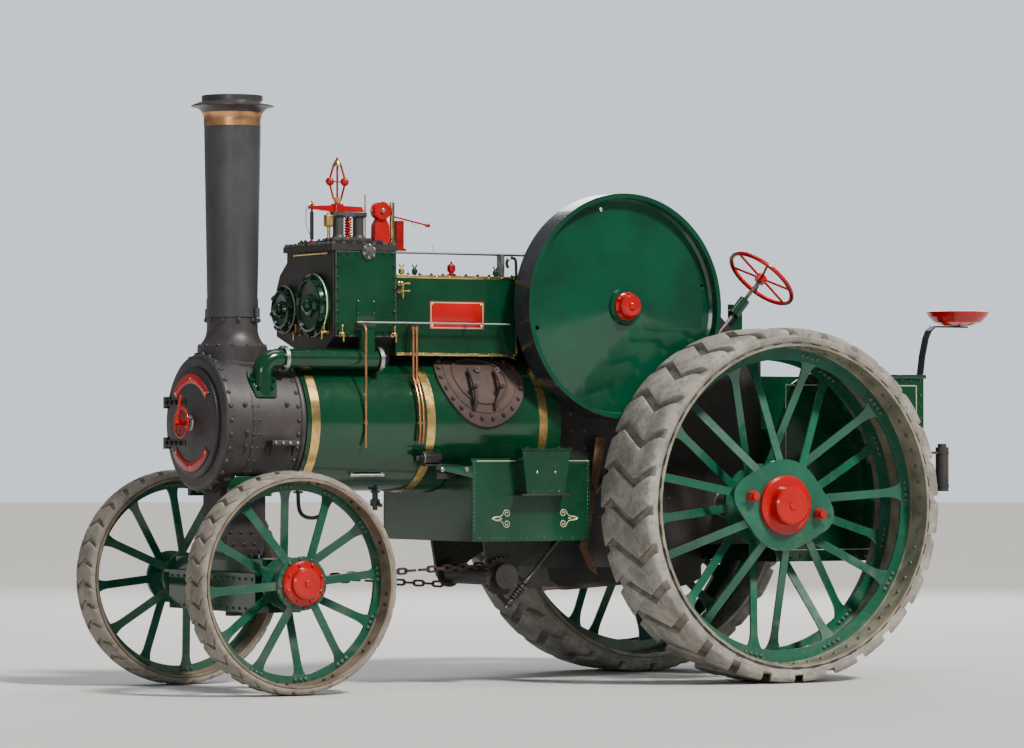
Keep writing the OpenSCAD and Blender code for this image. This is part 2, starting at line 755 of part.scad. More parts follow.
module gear_guard() {
    inside = 4;
    color(black) placed() difference() {
        union() {
            for (g = guarded) bar_y(-guard_outer_y, -guard_inner_y, g[2], g[0], g[1]);
            plate_xz(-guard_outer_y + 0.5, -guard_inner_y - 0.5) polygon([
                for (g = guarded) polar(g[0], g[1], g[2] - inside, guard_rise),
                polar(crank_x, crank_z, guarded[2][2] - inside, guard_fall),
                polar(shaft_x, shaft_z, guarded[1][2] - inside, guard_fall),
                polar(0, rear_wheel_r, guarded[0][2] - inside, -guard_fall), [0, rear_wheel_r]]);
        }
        bar_y(-guard_outer_y - 1, -guard_inner_y + 1, rear_axle_r + 25 + seating, 0, rear_wheel_r);
        block([-900, -tender_half_w - 8, 0], [tender_front_x + 8, 0, 3000]);
    }
}

// Manhole plate on the boiler's left shoulder

manhole_x = 1762;
manhole_tilt = 40;
manhole_r = 292;
manhole_t = 16;

module manhole() {
    $fn = 240;
    color([0.3, 0.25, 0.24]) placed() difference() {
        intersection() {
            bar_x(manhole_x - 320, manhole_x + 320, boiler_r + seating + manhole_t, 0, boiler_z);
            translate([manhole_x, 0, boiler_z]) rotate([manhole_tilt - 90, 0, 0])
                cylinder(h = 600, r = manhole_r);
        }
        bar_x(manhole_x - 330, manhole_x + 330, boiler_r + seating, 0, boiler_z);
        block([manhole_x - 330, -guide_half_w - 1, guide_floor_z - 1],
            [manhole_x + 330, guide_half_w + 1, guide_top_z]);
        band_room();
    }
}

// Water tank under the boiler

tank_round = 40;
wing_y = 375;
boiler_gap = 6;

module belly_tank() {
    top = [tank_half_w - tank_round, tank_top_z - tank_round];
    half = concat([[0, tank_floor_z], [tank_half_w, tank_floor_z]],
        arc(top[0], top[1], tank_round, 0, 90, 6), [[0, tank_top_z]]);
    color(green) placed() difference() {
        union() {
            plate_yz(tank_rear_x, tank_front_x) polygon(half);
            mirror([0, 1, 0]) plate_yz(tank_rear_x, tank_front_x) polygon(half);
        }
        bar_x(tank_rear_x - 10, tank_front_x + 10, boiler_r + boiler_gap, 0, boiler_z);
        block([tank_rear_x - 1, -wing_y, tank_floor_z - 1],
            [horn_front_x + seating, wing_y, tank_top_z + 1]);
    }
}

// Filler pocket on the tank's left side, and its lid

filler_x0 = 1340;
filler_x1 = 1650;
filler_z = 1150;
filler_top_z = 1412;
filler_y = 640;
filler_t = 6;
lid_pin_r = 6;
lid_y = tank_half_w + 14;
lid_z = filler_top_z + 10;

module tank_filler() {
    outline = [[filler_x0 + 14, filler_z], [filler_x1 - 34, filler_z],
        [filler_x1, filler_top_z], [filler_x0 - 24, filler_top_z]];
    hollow = [[filler_x0 + 22, filler_z + filler_t], [filler_x1 - 44, filler_z + filler_t],
        [filler_x1 - filler_t, filler_top_z + 1], [filler_x0 - 24 + filler_t, filler_top_z + 1]];
    color(green) placed() {
        difference() {
            plate_xz(tank_half_w + seating, filler_y) polygon(outline);
            plate_xz(tank_half_w + seating + filler_t, filler_y - filler_t) polygon(hollow);
        }
        for (x = [filler_x0 + 30, filler_x1 - 60])
            difference() {
                block([x, tank_half_w + seating, filler_top_z - bite], [x + 24, lid_y, lid_z + 6]);
                block([x - 1, tank_half_w, filler_top_z + 0.5], [x, lid_y, lid_z]);
            }
        for (x = [filler_x0 + 30, filler_x1 - 60]) bar_x(x - 30, x + bite, lid_pin_r, lid_y, lid_z);
    }
}

module tank_lid() {
    color(green) placed() difference() {
        union() {
            block([filler_x0 - 30, lid_y + 12, filler_top_z + 2],
                [filler_x1 + 8, filler_y + 8, filler_top_z + 10]);
            for (x = [filler_x0 + 30, filler_x1 - 60]) {
                bar_x(x - 28, x - 2, 11, lid_y, lid_z + 0);
                block([x - 28, lid_y, filler_top_z + 2], [x - 2, lid_y + 14, filler_top_z + 10]);
            }
        }
        for (x = [filler_x0 + 30, filler_x1 - 60])
            bar_x(x - 40, x + 4, lid_pin_r + fit, lid_y, lid_z);
    }
}

// Perch bracket under the smokebox, which carries the front axle's pin

perch_z = 796;
pin_r = 32;
pin_gap = 0.5;
axle_top_z = perch_z - pin_gap;
axle_foot_z = perch_z - 326;
saddle_half_l = 190;
saddle_half_w = 240;
web_foot_z = perch_z + 104;

module perch_bracket() {
    color(black) placed() {
        difference() {
            union() {
                intersection() {
                    bar_x(wheelbase - saddle_half_l, wheelbase + saddle_half_l, smokebox_r + 20, 0,
                        boiler_z);
                    block([wheelbase - saddle_half_l, -saddle_half_w, web_foot_z],
                        [wheelbase + saddle_half_l, saddle_half_w, boiler_z]);
                }
                block([wheelbase - 150, -110, web_foot_z], [wheelbase + 150, 110, boiler_z - 330]);
                block([wheelbase - 120, -150, perch_z + 24],
                    [wheelbase + 120, 150, web_foot_z + 10]);
                bar_z(perch_z, perch_z + 40, 165, wheelbase, 0);
            }
            bar_x(wheelbase - 200, wheelbase + 200, smokebox_r + seating, 0, boiler_z);
        }
        bar_z(axle_foot_z - 30, perch_z + bite, pin_r, wheelbase, 0);
        bar_z(axle_foot_z - 34, axle_foot_z - 6, pin_r + 20, wheelbase, 0);
    }
}

anchor_y = 500;
anchor_x = wheelbase - 200;
anchor_z = perch_z - 131;
beam_half_w = front_track / 2 - 175.5;
beam_top_z = perch_z - 110;
collar_end = front_track / 2 - 109;

module front_axle() {
    hub_end = front_track / 2 + front_wheel_w / 2 + 40;
    rim_z = beam_top_z + 14;
    color(green) placed() difference() {
        union() {
            block([wheelbase - 150, -beam_half_w, axle_foot_z],
                [wheelbase + 150, beam_half_w, beam_top_z]);
            block([wheelbase - 168, -beam_half_w - 30, beam_top_z - bite],
                [wheelbase + 168, beam_half_w + 30, rim_z]);
            block([wheelbase - 105, -beam_half_w, rim_z - bite],
                [wheelbase + 105, beam_half_w, perch_z - 16]);
            bar_z(perch_z - 26, axle_top_z, 150, wheelbase, 0);
            bar_y(-hub_end, hub_end, front_axle_r, wheelbase, front_wheel_r);
            for (side = [-1, 1]) {
                mirror([0, side > 0 ? 0 : 1, 0])
                    bar_y(beam_half_w - bite, collar_end, front_axle_r + 26, wheelbase, front_wheel_r);
                block([anchor_x, side * anchor_y - 9, anchor_z - 30],
                    [anchor_x + 60, side * anchor_y + 9, anchor_z + 18]);
            }
        }
        bar_z(axle_foot_z - 1, axle_top_z + 1, pin_r + fit, wheelbase, 0);
    }
}

// Steering: drum and worm wheel under the tank, worm on the column, and the two chains

column_y = 347;
wheel_x = -244;
wheel_z = 2471;
worm_r = 28;
worm_half = 52;
sleeve_s = 235;
sleeve_half = 62;
sleeve_r = 36;
along = (drum_x - wheel_x) * cos(column_slope) + (wheel_z - drum_z) * sin(column_slope);
across = (drum_x - wheel_x) * sin(column_slope) - (wheel_z - drum_z) * cos(column_slope);
worm_wheel_r = across - worm_r - 5;
worm_teeth = 24;
worm_tooth_h = 9;
worm_turns = 5;
drum_shaft_r = 22;
boss_gap = 18;
boss_w = 28;
bracket_t = 24;
bracket_y = horn_half_w - bracket_t;
sleeve_x = wheel_x + sleeve_s * cos(column_slope);
sleeve_z = wheel_z - sleeve_s * sin(column_slope);

// Frame with X down the column from the steering wheel's hub, and Z square to it
module on_column() {
    translate([wheel_x, column_y, wheel_z]) rotate([0, column_slope, 0]) children();
}

// Cylinder down the column, from distance s0 to s1
module on_shaft(s0, s1, r) {
    on_column() translate([s0, 0, 0]) rotate([0, 90, 0]) cylinder(h = s1 - s0, r = r);
}

// Bracket under the tank; the left one (side 1) also carries the two bearings of the worm
module steering_bracket(side) {
    inner = [horn_front_x + seating, tank_floor_z - seating];
    color(black) placed() difference() {
        union() {
            plate_xz(side > 0 ? bracket_y : -horn_half_w, side > 0 ? horn_half_w : -bracket_y)
                polygon([[inner[0], horn_foot_z + 10], inner, [drum_x + 110, inner[1]],
                    [drum_x + 70, drum_z - 10], [drum_x + 30, drum_z - 62],
                    [drum_x - 30, drum_z - 62], [drum_x - 62, drum_z], [drum_x - 160, drum_z + 80]]);
            if (side > 0) for (end = [-1, 1]) {
                s = along + end * (worm_half + boss_gap + boss_w / 2);
                on_shaft(s - boss_w / 2, s + boss_w / 2, column_r + 12);
                on_column() translate([0, -column_y, 0]) plate_xz(bracket_y + 4, horn_half_w - 4)
                    polygon(strip([[s, 0], [s, 70], [along + end * 40, across]], boss_w));
            }
        }
        on_shaft(sleeve_s, along + 400, column_r + fit);
        bar_y(-horn_half_w - 1, horn_half_w + 1, drum_shaft_r + seating, drum_x, drum_z);
    }
}

// Outline of a wheel with square cut teeth
function toothed(r, depth, count) = [for (i = [0:count - 1]) let(step = 360 / count)
    each [polar(0, 0, r - depth, (i + 0.02) * step), polar(0, 0, r - depth, (i + 0.42) * step),
        polar(0, 0, r, (i + 0.56) * step), polar(0, 0, r, (i + 0.88) * step)]];

module steering_drum() {
    cheek_y = bracket_y - 20;
    color(black) placed() {
        bar_y(-horn_half_w - 10, 420, drum_shaft_r, drum_x, drum_z);
        bar_y(-bracket_y + 6, bracket_y - 6, drum_r, drum_x, drum_z);
        for (side = [-1, 1])
            bar_y(side * cheek_y - 8, side * cheek_y + 8, drum_r + 24, drum_x, drum_z);
        translate([drum_x, 0, drum_z]) plate_xz(horn_half_w + 3, column_y + 14)
            polygon(toothed(worm_wheel_r, worm_tooth_h, worm_teeth));
        bar_y(400, 416, 76, drum_x, drum_z);
    }
}

// Bearing of the column on the left hornplate, under the steering wheel
module column_bearing() {
    foot_y = horn_half_w - horn_t - seating;
    color(black) placed() difference() {
        union() {
            on_shaft(sleeve_s - sleeve_half, sleeve_s + sleeve_half, sleeve_r);
            block([sleeve_x - 26, foot_y - 12, sleeve_z - 24], [sleeve_x + 26, column_y, sleeve_z + 20]);
            block([sleeve_x - 50, foot_y - 12, sleeve_z - 300], [sleeve_x + 50, foot_y, sleeve_z + 20]);
        }
        on_shaft(sleeve_s - 200, sleeve_s + 200, column_r + fit);
    }
}

shaft_head = -14;
wheel_wire_r = 14;

module steering_wheel() {
    color(red) placed() difference() {
        union() {
            on_column() translate([shaft_head, 0, 0]) rotate([0, 90, 0]) {
                rotate_extrude() translate([steering_wheel_r - wheel_wire_r, 0])
                    circle(r = wheel_wire_r, $fn = 24);
                for (a = [0:60:359]) rotate([0, 0, a]) translate([20, 0, 0]) rotate([0, 90, 0])
                    cylinder(h = steering_wheel_r - 34, r = 8, $fn = 16);
            }
            on_shaft(shaft_head - 16, shaft_head + 28, 34);
        }
        on_shaft(shaft_head - seating, shaft_head + 40, column_r + seating);
    }
}

module steering_shaft() {
    color(steel) placed() on_shaft(shaft_head, along + worm_half + boss_gap + boss_w + 26, column_r);
}

// Worm on the foot of the column, with its thread drawn as rings
module steering_worm() {
    core_r = worm_r - 8;
    bore_r = column_r + seating;
    pitch = 2 * worm_half / worm_turns;
    color(steel) placed() on_column() translate([along - worm_half, 0, 0]) rotate([0, 90, 0])
        rotate_extrude() polygon(concat([[bore_r, 0]],
            [for (i = [0:worm_turns - 1]) each [[core_r, (i + 0.05) * pitch],
                [core_r, (i + 0.35) * pitch], [worm_r, (i + 0.5) * pitch],
                [worm_r, (i + 0.75) * pitch], [core_r, (i + 0.9) * pitch]]],
            [[bore_r, 2 * worm_half]]));
}

// Chains of oval links from the drum to the axle, open at one place behind the front wheels

wire_r = 7;
link_w = 44;
link_len = 82;
link_pitch = 62;
chain_break_x = wheelbase - 1048;
chain_gap = 24;
chain_ends = [
    // side, height at the drum
    [1, drum_z + drum_r + 8],
    [-1, drum_z - drum_r - 8]
];

function stadium(len, w, n) = concat(
    arc((len - w) / 2, 0, w / 2, -90, 90, n), arc(-(len - w) / 2, 0, w / 2, 90, 270, n));

module link() {
    translate([0, 0, -wire_r]) linear_extrude(2 * wire_r) difference() {
        polygon(stadium(link_len, link_w, 4));
        polygon(stadium(link_len - 4 * wire_r, link_w - 4 * wire_r, 4));
    }
}

// Links from point a to point b
module chain(a, b) {
    v = b - a;
    count = max(1, round((norm(v) - link_len) / link_pitch) + 1);
    step = (norm(v) - link_len) / max(1, count - 1);
    for (i = [0:count - 1])
        translate(a + v / norm(v) * (link_len / 2 + i * step))
            rotate([0, -asin(v[2] / norm(v)), atan2(v[1], v[0])])
                rotate([i % 2 * 90, 0, 0]) link();
}

function chain_point(row, x) = let(
    y0 = row[0] * 230, z0 = row[1], x0 = drum_x,
    y1 = row[0] * anchor_y, x1 = anchor_x,
    t = (x - x0) / (x1 - x0)) [x, y0 + t * (y1 - y0), z0 + t * (anchor_z - z0)];

module chains_rear() {
    color(steel) placed()
        for (row = chain_ends)
            chain(chain_point(row, drum_x), chain_point(row, chain_break_x - chain_gap / 2));
}

module chains_front() {
    color(steel) placed()
        for (row = chain_ends)
            chain(chain_point(row, chain_break_x + chain_gap / 2),
                chain_point(row, anchor_x - seating));
}

// Rear axle with its boxes

module rear_axle() {
    hub_in = rear_track / 2 - rear_hub_back;
    color(steel) placed() {
        bar_y(-rear_track / 2 - rear_hub_front, rear_track / 2 + rear_hub_front, rear_axle_r, 0,
            rear_wheel_r);
        for (side = [-1, 1]) {
            y0 = side > 0 ? horn_half_w - horn_t : -hub_in + 1;
            y1 = side > 0 ? hub_in - 1 : -horn_half_w + horn_t;
            bar_y(y0, y1, rear_axle_r + 25, 0, rear_wheel_r);
            bar_y(side > 0 ? horn_half_w - horn_t : -horn_half_w,
                side > 0 ? horn_half_w : -horn_half_w + horn_t, axle_box_r - seating, 0, rear_wheel_r);
        }
    }
}

// Tender: open coal space over a closed water tank

bunker_x = -760;
tender_front_x = horn_rear_x - seating;

module tender() {
    side_outline = [[-tender_rear, tender_floor_z], [tender_front_x, tender_floor_z],
        [tender_front_x, 1520], [tender_front_x - 120, tender_top_z - 60],
        [tender_front_x - 220, tender_top_z], [-tender_rear, tender_top_z]];
    color(green) placed() {
        for (side = [-1, 1])
            plate_xz(side > 0 ? tender_half_w - plate_t : -tender_half_w,
                side > 0 ? tender_half_w : -tender_half_w + plate_t) polygon(side_outline);
        block([-tender_rear, -tender_half_w + bite, tender_floor_z],
            [-tender_rear + plate_t, tender_half_w - bite, tender_top_z]);
        block([-tender_rear + bite, -tender_half_w + bite, tender_floor_z],
            [tender_front_x, tender_half_w - bite, footplate_z]);
        block([bunker_x, -tender_half_w + bite, footplate_z - bite],
            [bunker_x + plate_t, tender_half_w - bite, footplate_z + 380]);
        for (side = [-1, 1])
            bar_x(-tender_rear, tender_front_x - 220, 14, side * (tender_half_w + 4), tender_top_z - 10);
        bar_y(-tender_half_w - 4, tender_half_w + 4, 14, -tender_rear - 4, tender_top_z - 10);
    }
}

// Outline of a bent strip of thickness t along a path of points
function strip(path, t) = let(n = len(path) - 1,
    side = [for (i = [0:n]) let(v = path[min(i + 1, n)] - path[max(i - 1, 0)])
        [-v[1], v[0]] / norm(v) * t / 2])
    concat([for (i = [0:n]) path[i] + side[i]], [for (i = [n:-1:0]) path[i] - side[i]]);

seat_foot_x = -tender_rear - 29;
seat_z = 2200;
seat_bar_w = 60;
seat_bar_t = 10;

module seat_bracket() {
    color(green) placed() {
        plate_xz(seat_y - seat_bar_w / 2, seat_y + seat_bar_w / 2) polygon(strip([
            [seat_foot_x, tender_top_z - 150], [seat_foot_x, tender_top_z],
            [seat_foot_x - 16, tender_top_z + 120], [seat_foot_x - 44, tender_top_z + 236],
            [seat_foot_x - 66, tender_top_z + 282], [seat_foot_x - 100, seat_z - seat_bar_t / 2],
            [seat_foot_x - 130, seat_z - seat_bar_t / 2], [seat_x - 60, seat_z - seat_bar_t / 2]],
            seat_bar_t));
        block([seat_foot_x, seat_y - 20, tender_top_z - 140],
            [-tender_rear - seating, seat_y + 20, tender_top_z - 60]);
    }
}

module seat() {
    t = 8;
    color(red) placed() translate([seat_x, seat_y, seat_z + seating]) difference() {
        rotate_extrude() polygon([[0, 0], [90, 4], [150, 24], [185, 60], [seat_pan_r, 92],
            [seat_pan_r - t, 94], [178, 66], [145, 32], [88, 4 + t], [0, t]]);
        for (a = [20:40:359]) rotate([0, 0, a]) block([70, -9, -1], [140, 9, 40]);
    }
}

// Drawbar, can and pipes

draw_z = tender_floor_z + 60;
draw_pin_r = 23;
draw_len = 190;

module drawbar() {
    color(black) placed() difference() {
        union() {
            block([-tender_rear - 40, -130, draw_z - 70], [-tender_rear - seating, 130, draw_z + 70]);
            for (side = [-1, 1])
                block([-tender_rear - draw_len, -50, draw_z + side * 36 - 12],
                    [-tender_rear - 30, 50, draw_z + side * 36 + 12]);
            for (side = [-1, 1])
                bar_z(draw_z + side * 36 - 12, draw_z + side * 36 + 12, 50, -tender_rear - draw_len, 0);
        }
        bar_z(draw_z - 80, draw_z + 80, draw_pin_r, -tender_rear - draw_len, 0);
    }
}

can_r = 42;
can_x = -tender_rear - 200;
can_y = 420;

module rear_can() {
    color(charcoal) placed() {
        bar_z(1150, 1430, can_r, can_x, can_y);
        bar_z(1428, 1452, can_r - 14, can_x, can_y);
        for (z = [1185, 1395]) {
            bar_z(z - 8, z + 8, can_r + 3, can_x, can_y);
            block([can_x, can_y - 15, z - 8], [-tender_rear - seating, can_y + 15, z + 8]);
        }
    }
}

copper_r = 8;
copper_bend = 80;
copper_top_z = cylinder_side_z + 65;
elbow_r = 40;
follow_r = boiler_r + 28;
drain_y = guide_half_w + 64;
drain_x = cylinder_rear_x - 110;
feed_x = cylinder_front_x - 150;
feed_y = band_r + seating + copper_r;
foot_angle = -16;
nut_half = 13;

// A feed pipe down past the exhaust pipe, and a pair of drains bent round the boiler's shoulder
module copper_pipes() {
    bend_y = drain_y + copper_bend;
    bend_z = boiler_z + sqrt(pow(follow_r + copper_bend, 2) - bend_y * bend_y);
    turn = atan2(bend_z - boiler_z, bend_y);
    color([0.72, 0.42, 0.22]) placed() {
        bar_z(boiler_z - 150, copper_top_z - elbow_r, copper_r, feed_x, feed_y);
        bend_yz(feed_x, [feed_y - elbow_r, copper_top_z - elbow_r], elbow_r, 0, 90, copper_r);
        bar_y(cylinder_half_w + 11 + seating, feed_y - elbow_r, copper_r, feed_x, copper_top_z);
        block([feed_x - 12, boiler_r + seating, boiler_z - 7], [feed_x + 12, feed_y, boiler_z + 7]);
        for (x = [drain_x, drain_x + 24]) {
            bar_z(bend_z, copper_top_z, copper_r, x, drain_y);
            bend_yz(x, [bend_y, bend_z], copper_bend, 180, 178 + turn, copper_r);
            bend_yz(x, [0, boiler_z], follow_r, foot_angle, turn - 0.5, copper_r);
            translate([x, 0, boiler_z]) rotate([turn, 0, 0]) translate([0, follow_r, -nut_half])
                cylinder(h = 2 * nut_half, r = copper_r + 4, $fn = 6);
        }
        block([drain_x - 12, boiler_r + seating, boiler_z - 7],
            [drain_x + 36, follow_r, boiler_z + 7]);
        block([drain_x - 12, guide_half_w + seating, copper_top_z - 20],
            [drain_x + 36, drain_y, copper_top_z - 4]);
    }
}

rod_z = cylinder_side_z + 85;
rod_y = guide_half_w + 72;

// Rod of the drain cocks along the left side, and two rods over the guide box
module control_rods() {
    color(steel) placed() {
        for (y = [118, 150]) bar_x(guide_rear_x - 150, cylinder_rear_x - 6 - seating, 8, y,
            guide_top_z + 140);
        block([guide_rear_x + 20, 108, guide_top_z], [guide_rear_x + 44, 160, guide_top_z + 142]);
        bar_x(guide_rear_x + 100, cylinder_front_x - 123, 6, rod_y, rod_z);
        for (x = [guide_rear_x + 130, (guide_rear_x + drain_x) / 2, drain_x + 12])
            block([x - 8, guide_half_w + seating, rod_z - 5], [x + 8, rod_y, rod_z + 5]);
        block([feed_x - 8, cylinder_half_w + 11 + seating, rod_z - 5], [feed_x + 8, rod_y, rod_z + 5]);
    }
}

// Wheels

rear_hub_back = 170;
rear_hub_front = 150;

// Outline of one spoke from its root to its flared foot, as [across, along] points
function spoke_outline(r0, r1, half, foot, flare) = let(
    right = [for (a = [0:15:90]) [half + (foot - half) * (1 - cos(a)), r1 - flare * (1 - sin(a))]])
    concat([[-half, r0], [half, r0]], right, [for (i = [len(right) - 1:-1:0]) [-right[i][0], right[i][1]]]);

// One row of spokes that lean from y0 at radius r0 to y1 at radius r1
module spoke_row(count, phase, r0, r1, y0, y1, half, foot, flare, t) {
    lean = atan2(y1 - y0, r1 - r0);
    len = norm([r1 - r0, y1 - y0]);
    for (i = [0:count - 1])
        rotate([0, phase + i * 360 / count, 0]) translate([0, y0, r0]) rotate([-lean, 0, 0])
            translate([0, t / 2, 0]) rotate([90, 0, 0]) linear_extrude(t)
                polygon(spoke_outline(-20, len + 4, half, foot, flare));
}

// Rim or other ring between two radii
module ring_y(y0, y1, r0, r1) {
    difference() {
        bar_y(y0, y1, r1, 0, 0);
        bar_y(y0 - 1, y1 + 1, r0, 0, 0);
    }
}

rim_t = 18;
tee_w = 80;
tee_t = 14;
tee_y = 105;

hub_plate_y = 122;
hub_plate_t = 20;
hub_plate_r = 278;
lobe_r = 115;
lobe_x = 255;
lobe_tilt = 13;

// Outline of a disc with a lobe on each side, wrapped by straight tangents
function lobed(r0, r1, x) = let(b = acos((r0 - r1) / x)) concat(
    arc(x, 0, r1, -b, b, 10), arc(0, 0, r0, b, 180 - b, 12),
    arc(-x, 0, r1, 180 - b, 180 + b, 10), arc(0, 0, r0, 180 + b, 360 - b, 12));

module rear_wheel() {
    rim_in = rear_rim_r - rim_t;
    difference() {
        union() {
            ring_y(-rear_wheel_w / 2, rear_wheel_w / 2, rim_in, rear_rim_r);
            for (side = [-1, 1])
                ring_y(side * tee_y - tee_t / 2, side * tee_y + tee_t / 2, rim_in - tee_w, rim_in + bite);
            bar_y(-rear_hub_back, rear_hub_front - 8, 125, 0, 0);
            bar_y(-150, -130, 250, 0, 0);
            rotate([0, -lobe_tilt, 0]) plate_xz(hub_plate_y, hub_plate_y + hub_plate_t)
                polygon(lobed(hub_plate_r, lobe_r, lobe_x));
            spoke_row(rear_spokes, 23, 220, rim_in - tee_w, -136, tee_y, 25, 66, 120, 14);
            spoke_row(rear_spokes, 23 + 180 / rear_spokes, 258, rim_in - tee_w,
                hub_plate_y + 4, -tee_y, 25, 66, 120, 14);
        }
        bar_y(-rear_hub_back - 1, rear_hub_front + 1, rear_axle_r + fit, 0, 0);
    }
}

module rear_cap() {
    y0 = hub_plate_y + hub_plate_t;
    turned_y(y0, 0, 0) polygon([[0, 8.3], [rear_axle_r + 10, 8.3], [rear_axle_r + 10, 0], [180, 0],
        [180, 24], [168, 32], [124, 34], [120, 94], [108, 104], [0, 104]]);
    for (x = [-lobe_x + 5, lobe_x - 5]) rotate([0, -lobe_tilt, 0]) {
        bar_y(y0, y0 + 40, 34, x, 0);
        bar_y(y0 + 38, y0 + 64, 22, x, 0);
    }
}

module rear_tyre() {
    ring_y(-rear_wheel_w / 2 + 6, rear_wheel_w / 2 - 6, rear_rim_r + seating, rear_wheel_r);
}

front_hub_w = 126;

module front_wheel() {
    rim_in = front_rim_r - rim_t + 4;
    difference() {
        union() {
            ring_y(-front_wheel_w / 2, front_wheel_w / 2, rim_in, front_rim_r);
            ring_y(-7, 7, rim_in - 54, rim_in + bite);
            bar_y(-105, front_hub_w - 10, 95, 0, 0);
            bar_y(-96, -80, 150, 0, 0);
            bar_y(front_hub_w - 26, front_hub_w, 157, 0, 0);
            spoke_row(front_spokes, 35 - 180 / front_spokes, 130, rim_in - 40, -84, 0, 24, 62, 90, 12);
            spoke_row(front_spokes, 35, 130, rim_in - 40, front_hub_w - 20, 0, 24, 62, 90, 12);
        }
        bar_y(-120, front_hub_w + 1, front_axle_r + fit, 0, 0);
    }
}

module front_cap() {
    hollow = front_wheel_w / 2 + 40 - front_hub_w + 6;
    turned_y(front_hub_w, 0, 0) polygon([[0, hollow], [front_axle_r + 8, hollow],
        [front_axle_r + 8, 0], [131, 0], [131, 22], [120, 34], [94, 38], [90, 62], [78, 70], [0, 70]]);
}

module front_tyre() {
    ring_y(-front_wheel_w / 2 + 4, front_wheel_w / 2 - 4, front_rim_r + seating, front_wheel_r);
}

// Puts a wheel piece drawn with +Y outward on the left (1) or right (-1) side
module at_rear(side) {
    placed() translate([0, side * rear_track / 2, rear_wheel_r])
        mirror([0, side > 0 ? 0 : 1, 0]) children();
}

module at_front(side) {
    placed() translate([wheelbase, side * front_track / 2, front_wheel_r])
        mirror([0, side > 0 ? 0 : 1, 0]) children();
}

smokebox();
chimney_base();
chimney_barrel();
chimney_bell();
boiler();
boiler_bands();
hornplates();
cylinder_block();
cylinder_cladding();
safety_valves();
governor_stand();
lubricators();
exhaust_pipe();
guide_box();
crank_cover();
gear_guard();
manhole();
belly_tank();
tank_filler();
perch_bracket();
steering_bracket(1);  // steering_bracket_left
steering_bracket(-1);  // steering_bracket_right
steering_drum();
column_bearing();
chains_rear();
rear_axle();
tender();
seat_bracket();
seat();
drawbar();
rear_can();
copper_pipes();
control_rods();
smokebox_door();
door_handles();
firehole_door();
tank_lid();
flywheel();
crankshaft();
governor();
steering_wheel();
steering_shaft();
steering_worm();
front_axle();
chains_front();
color(green) at_front(1) front_wheel();  // front_wheel_left
color(green) at_front(-1) front_wheel();  // front_wheel_right
color(red) at_front(1) front_cap();  // front_cap_left
color(red) at_front(-1) front_cap();  // front_cap_right
color(rubber) at_front(1) front_tyre();  // front_tyre_left
color(rubber) at_front(-1) front_tyre();  // front_tyre_right
color(green) at_rear(1) rear_wheel();  // rear_wheel_left
color(green) at_rear(-1) rear_wheel();  // rear_wheel_right
color(red) at_rear(1) rear_cap();  // rear_cap_left
color(red) at_rear(-1) rear_cap();  // rear_cap_right
color(rubber) at_rear(1) rear_tyre();  // rear_tyre_left
color(rubber) at_rear(-1) rear_tyre();  // rear_tyre_right
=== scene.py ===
import json
from math import cos, degrees, pi, radians, sin

import bmesh
import bpy
from mathutils import Matrix, Vector


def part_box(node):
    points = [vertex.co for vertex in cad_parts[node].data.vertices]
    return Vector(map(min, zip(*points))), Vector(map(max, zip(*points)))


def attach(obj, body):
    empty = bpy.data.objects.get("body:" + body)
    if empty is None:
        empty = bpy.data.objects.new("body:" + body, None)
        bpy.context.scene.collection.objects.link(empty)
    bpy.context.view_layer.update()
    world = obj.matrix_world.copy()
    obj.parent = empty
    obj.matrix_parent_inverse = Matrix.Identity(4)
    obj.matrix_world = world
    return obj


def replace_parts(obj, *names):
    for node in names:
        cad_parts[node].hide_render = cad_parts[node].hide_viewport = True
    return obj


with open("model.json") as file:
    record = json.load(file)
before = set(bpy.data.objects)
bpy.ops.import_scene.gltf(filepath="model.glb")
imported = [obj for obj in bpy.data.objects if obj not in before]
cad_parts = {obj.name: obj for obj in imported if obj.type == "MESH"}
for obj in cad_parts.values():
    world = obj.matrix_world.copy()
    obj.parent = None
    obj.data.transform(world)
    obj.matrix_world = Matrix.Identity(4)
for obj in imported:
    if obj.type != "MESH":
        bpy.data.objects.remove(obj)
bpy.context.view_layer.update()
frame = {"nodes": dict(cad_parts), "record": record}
cad = frame["nodes"]
record = frame["record"]["behaviour"]

# Pieces and their places are given in millimetres. Coats, lamps and the frame itself are in metres
METRE = 1000
SAME_PLACE = 2e-5
X, Y, Z = Vector((1, 0, 0)), Vector((0, 1, 0)), Vector((0, 0, 1))
SIDES = ((1, "left"), (-1, "right"))

joint_places = {joint["name"]: joint["pos_m"] for joint in record["joints"]}
AXLE_X = joint_places["rear_wheel_left_turn"][0]
REAR_WHEEL_Y = joint_places["rear_wheel_left_turn"][1] * METRE
FRONT_WHEEL_Y = joint_places["front_wheel_left_turn"][1] * METRE


def axis_of(joint):
    """Where a joint's axis along Y crosses the middle of the engine."""
    x, y, z = joint_places[joint]
    return Vector((x, 0, z))


REAR_HUB = axis_of("rear_wheel_left_turn")
FRONT_HUB = axis_of("front_wheel_left_turn")
CRANK = axis_of("flywheel_turn")

# Heights, and lengths from the rear axle
BOILER = 1575
BOILER_R = 409
CHIMNEY_X = 3262
EXHAUST_FOOT_X = 3229
EXHAUST_Y, EXHAUST_Z = 322, 1950
GOVERNOR_X = 2559
FRONT_ROD_X = 2731
PANEL_Y = 305.5
GUIDE_Y = 287.5
TANK_Y, TANK_FRONT, TANK_REAR = 548, 1940, 1124
OUTSIDE, ABOVE, IN_FRONT = 900, 3000, 3900


def at(x, y, z):
    """A place from the rear axle, the middle of the engine and the ground."""
    return Vector((x / METRE + AXLE_X, y / METRE, z / METRE))


# Bench tools

def adjust(thing, **values):
    """Sets several properties of a thing."""
    for name, value in values.items():
        setattr(thing, name, value)
    return thing


